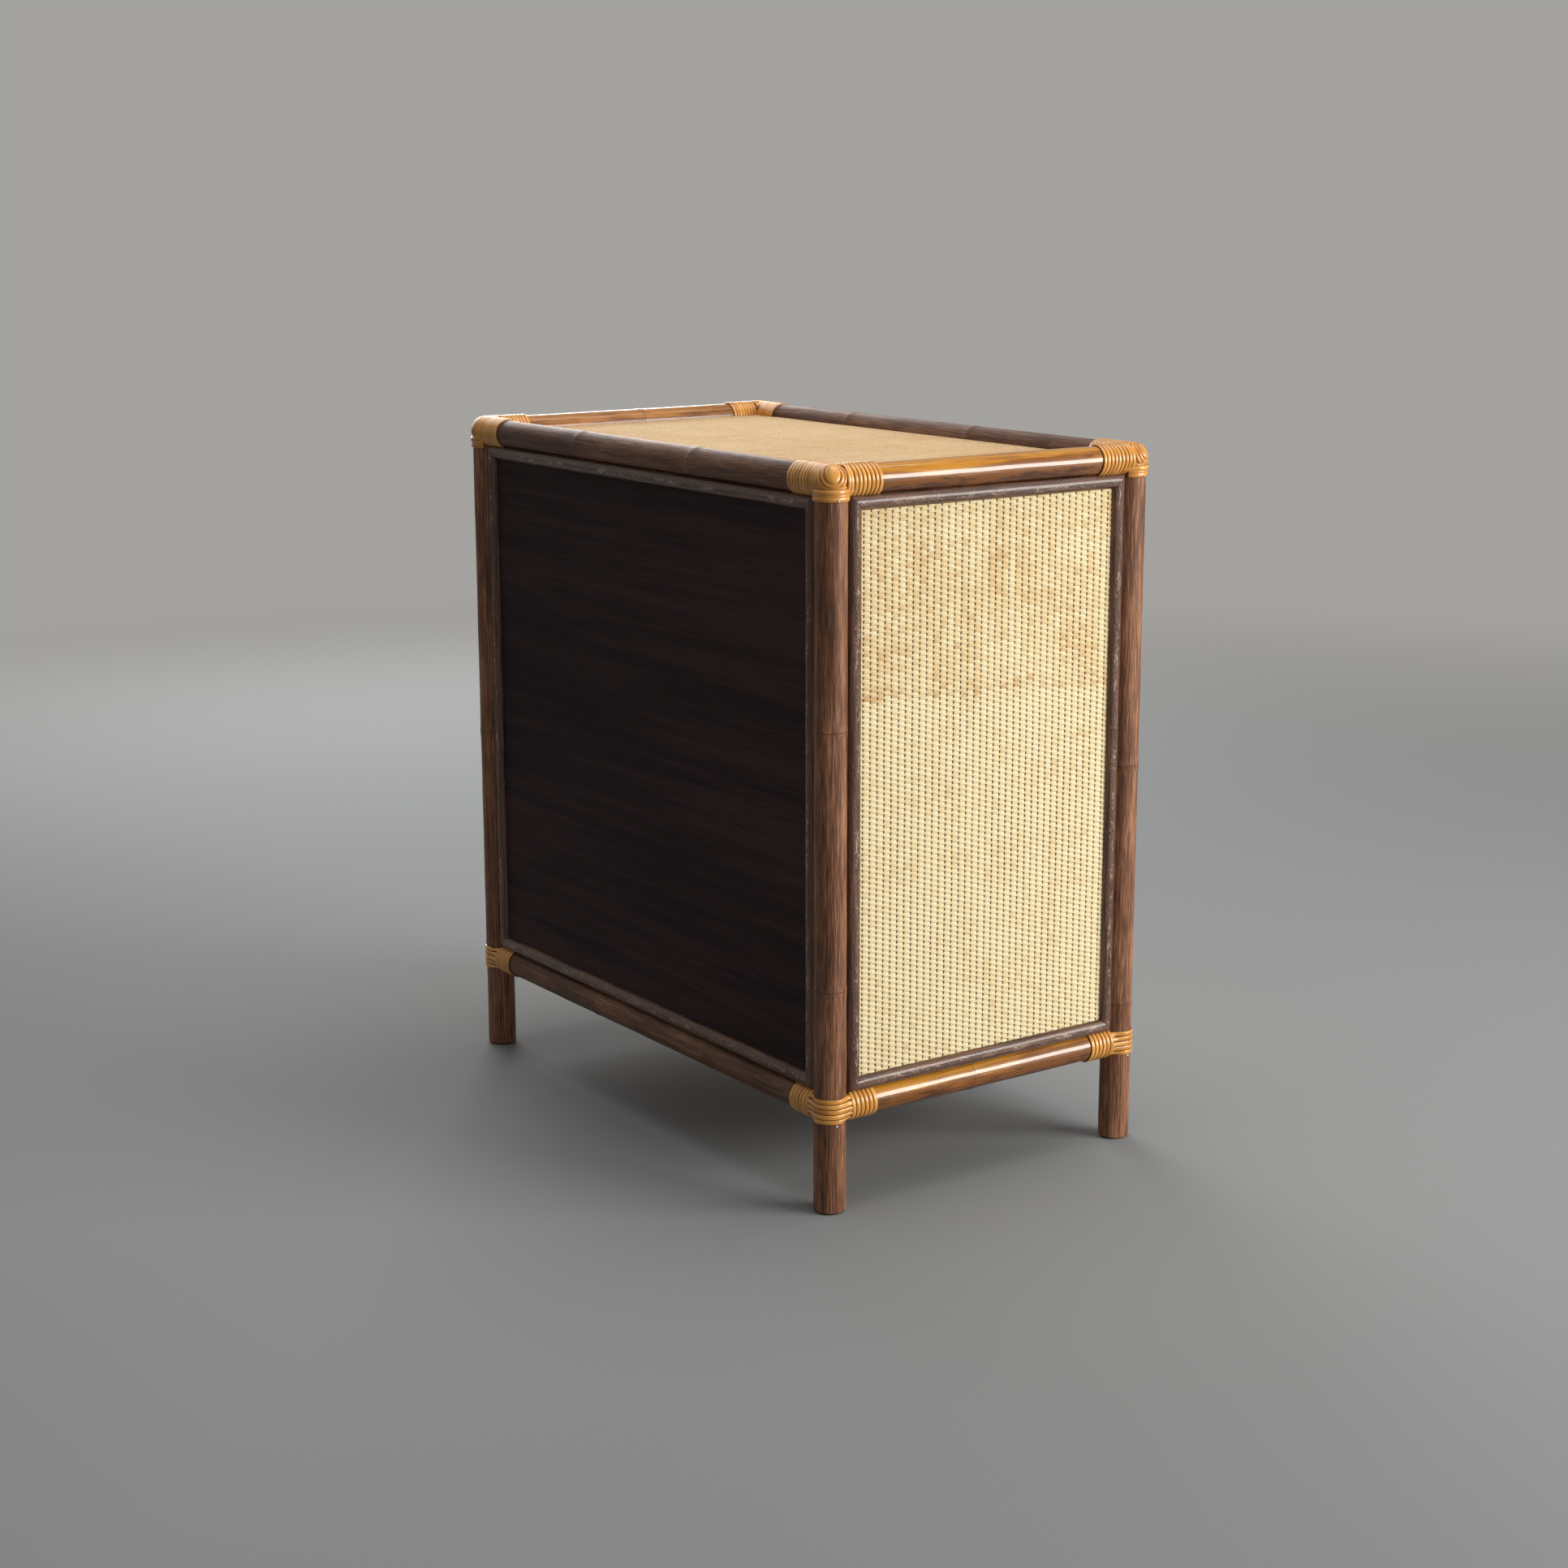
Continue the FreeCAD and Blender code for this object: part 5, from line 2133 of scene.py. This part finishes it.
@dataclass
class Hardware:
    """Hinges and the magnetic catch, with their screws.

    Each hinge has a row of screws, given as shares of its height, the middle one staggered.
    """

    hinge_height: float = 50.0 * MM
    leaf_thick: float = 1.2 * MM
    barrel: float = 6.0 * MM
    screw_r: float = 2.9 * MM
    screw_rise: float = 0.22 * MM
    screw_rows: Tuple[float, ...] = (0.16, 0.5, 0.84)
    stagger: Tuple[float, ...] = (0.0, 0.9 * MM, 0.0)
    case_screw_inset: float = 5.0 * MM
    case_screw_r: float = 2.4 * MM
    case_screw_rise: float = 0.8 * MM
    case_eased: float = 0.5 * MM
    plate_eased: float = 0.2 * MM

    def build(self, nodes: Dict[str, bpy.types.Object]) -> None:
        """Dresses the hardware and adds its screws.

        Args:
            nodes: the frame's nodes.
        """
        brass = MetalFinish("aged_brass", (0.80, 0.56, 0.24), (0.42, 0.27, 0.11)).make()
        steel = MetalFinish("catch_steel", (0.72, 0.72, 0.72), (0.46, 0.46, 0.46), 0.3).make()
        dress(nodes, ("hinge_jamb_leaves", "hinge_door_leaves", "hinge_pins"), brass)
        dress(nodes, ("catch_magnet", "catch_strike"), steel)
        dress(nodes, ("catch_case",), PlasticFinish().make())
        ease(nodes["catch_case"], self.case_eased)
        for name in ("catch_strike", "hinge_jamb_leaves", "hinge_door_leaves"):
            ease(nodes[name], self.plate_eased)
        self.leaf_screws("hinge_jamb_leaves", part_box("jamb_hinge_side")[0].x, -1.0, Body.CARCASS, brass)
        self.leaf_screws("hinge_door_leaves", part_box("door_panel")[1].x, 1.0, Body.DOOR, brass)
        self.catch_screws(steel)

    def leaf_screws(
        self, leaves: str, wood: float, side: float, body: Body, finish: bpy.types.Material
    ) -> None:
        """Three screws in each leaf.

        Args:
            leaves: the frame's node of the leaves.
            wood: X of the face that they are screwed to.
            side: -1 where the screws look towards -X, or 1.
            body: what they move with.
            finish: their material.
        """
        low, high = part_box(leaves)
        face = wood + side * self.leaf_thick
        middle_y = (low.y + self.barrel + high.y) / 2.0
        mesh = bmesh.new()
        for foot in (low.z, high.z - self.hinge_height):
            for share, shift in zip(self.screw_rows, self.stagger):
                spot = Vector((face, middle_y + shift, foot + self.hinge_height * share))
                place = facing(spot, Axis.X.way() * side)
                slotted_head(mesh, place, self.screw_r, self.screw_rise)
        publish(mesh, leaves.replace("leaves", "screws"), finish, body, crease=30.0)

    def catch_screws(self, finish: bpy.types.Material) -> None:
        """Two screws through the catch's case.

        Args:
            finish: their material.
        """
        low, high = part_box("catch_case")
        mesh = bmesh.new()
        for height in (low.z + self.case_screw_inset, high.z - self.case_screw_inset):
            spot = Vector((high.x, (low.y + high.y) / 2.0, height))
            place = facing(spot, Axis.X.way())
            slotted_head(mesh, place, self.case_screw_r, self.case_screw_rise)
        publish(mesh, "catch_case_screws", finish, crease=30.0)


# ---------------------------------------------------------------------------- stage
@dataclass(frozen=True)
class Lamp:
    """A soft rectangular light."""

    name: str
    place: Place
    size: Tuple[float, float]
    power: float
    colour: Colour = (1.0, 0.985, 0.96)

    def build(self, target: Place) -> None:
        """Sets the light up.

        Args:
            target: what it looks at.
        """
        data = bpy.data.lights.new(self.name, "AREA")
        data.shape = "RECTANGLE"
        data.energy = self.power
        data.size, data.size_y = self.size
        data.color = self.colour
        lamp = bpy.data.objects.new(self.name, data)
        turn = (Vector(target) - Vector(self.place)).to_track_quat("-Z", "Y")
        lamp.matrix_world = Matrix.Translation(self.place) @ turn.to_matrix().to_4x4()
        bpy.context.scene.collection.objects.link(lamp)


@dataclass
class Stage:
    """Pale floor, soft studio light and the camera.

    The camera's angles are in radians.  Its focal length and the width of its frame are in
    pixels.
    """

    camera_place: Place = (-1.9109, 1.3487, 0.8049)
    yaw: float = -0.61177
    pitch: float = 0.21957
    roll: float = -0.00187
    focal: float = 3304.6
    frame_width: float = 1932.0
    sensor: float = 36.0
    near: float = 0.05
    lamps: Tuple[Lamp, ...] = (
        Lamp("key", (-2.34, -1.6, 0.95), (1.7, 1.1), 82.0, (1.0, 0.97, 0.92)),
        Lamp("overhead", (-0.2, -0.2, 2.6), (1.8, 1.8), 30.0),
        Lamp("fill", (2.5, -0.75, 1.2), (1.6, 1.2), 44.0),
    )
    target: Place = (0.0, 0.0, 0.3)
    daylight: Colour = (1.0, 0.975, 0.95)
    daylight_strength: float = 0.19
    backdrop: Colour = (0.37, 0.362, 0.345)
    floor_size: float = 12.0
    floor_colour: Colour = (0.27, 0.28, 0.29)
    floor_roughness: float = 0.85
    fade_from: float = 1.1
    fade_to: float = 3.2

    def camera(self) -> None:
        """The camera, at the measured viewing angle."""
        ahead = Vector((
            math.cos(self.yaw) * math.cos(self.pitch),
            math.sin(self.yaw) * math.cos(self.pitch),
            -math.sin(self.pitch),
        ))
        side = ahead.cross(Axis.Z.way()).normalized()
        up = side.cross(ahead)
        right = side * math.cos(self.roll) + up * math.sin(self.roll)
        top = up * math.cos(self.roll) - side * math.sin(self.roll)
        data = bpy.data.cameras.new("camera")
        data.sensor_width = self.sensor
        data.lens = self.sensor * self.focal / self.frame_width
        data.clip_start = self.near
        camera = bpy.data.objects.new("camera", data)
        turn = Matrix((right, top, -ahead)).transposed().to_4x4()
        camera.matrix_world = Matrix.Translation(self.camera_place) @ turn
        bpy.context.scene.collection.objects.link(camera)
        bpy.context.scene.camera = camera

    def world(self) -> None:
        """Pale surroundings: the camera and mirrored or clear surfaces see the backdrop's colour."""
        world = bpy.data.worlds.new("studio")
        bpy.context.scene.world = world
        tree = Tree(world)
        seen = tree.node("ShaderNodeBackground", {}, {"Color": self.backdrop})
        light = tree.node(
            "ShaderNodeBackground", {}, {"Color": self.daylight, "Strength": self.daylight_strength}
        )
        rays = tree.node("ShaderNodeLightPath").outputs
        camera, glossy, clear = (
            Value(tree, rays["Is " + kind + " Ray"]) for kind in ("Camera", "Glossy", "Transmission")
        )
        shaders = {0: camera.either(glossy).either(clear), 1: light.outputs[0], 2: seen.outputs[0]}
        mixed = tree.node("ShaderNodeMixShader", {}, shaders)
        tree.node("ShaderNodeOutputWorld", {}, {0: mixed.outputs[0]})

    def floor(self) -> None:
        """A plain floor that fades into the backdrop."""
        mesh = bmesh.new()
        bmesh.ops.create_grid(mesh, x_segments=1, y_segments=1, size=self.floor_size / 2.0)
        data = bpy.data.meshes.new("floor")
        mesh.to_mesh(data)
        mesh.free()
        paint = Paint("floor_paint")
        x, y, _ = paint.axes(paint.place())
        radius = (x * x + y * y) ** 0.5
        seen = Value(paint, paint.node("ShaderNodeLightPath").outputs["Is Camera Ray"])
        paint.finish(
            Base_Color=self.floor_colour, Roughness=self.floor_roughness, Specular_IOR_Level=0.1
        )
        clear = paint.node("ShaderNodeBsdfTransparent")
        fade = radius.step(self.fade_from, self.fade_to) * seen
        shaders = {0: fade, 1: paint.shader.outputs[0], 2: clear.outputs[0]}
        paint.feed(paint.output.inputs[0], paint.node("ShaderNodeMixShader", {}, shaders).outputs[0])
        data.materials.append(paint.material)
        floor = bpy.data.objects.new("floor", data)
        bpy.context.scene.collection.objects.link(floor)

    def build(self) -> None:
        """Sets up the camera, the lights, the surroundings and the floor."""
        self.camera()
        for lamp in self.lamps:
            lamp.build(self.target)
        self.world()
        self.floor()
        bpy.context.scene.view_settings.view_transform = "Standard"


def main() -> None:
    """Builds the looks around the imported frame."""
    logging.basicConfig(level=logging.INFO, format="%(message)s")
    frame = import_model()
    nodes = frame["nodes"]
    layout = Layout.read()
    Stage().build()
    weave = WeaveFinish().make()
    bead = BeadFinish().make()
    dark = BoardFinish(
        "smoked_board",
        Axis.Z,
        dark=(0.045, 0.022, 0.015),
        light=(0.13, 0.065, 0.042),
        pore=(0.02, 0.01, 0.008),
        roughness=0.4,
    ).make()
    PoleFrame(layout).build()
    Bindings(layout).build()
    EndPanels(layout).build(weave, bead)
    BackPanel(layout).build(nodes, bead)
    inner = Carcass().build(nodes, dark)
    WovenTop(layout).build(nodes, inner)
    Door(layout).build(nodes, weave, bead, dark)
    Hardware().build(nodes)


if __name__ == "__main__":
    main()
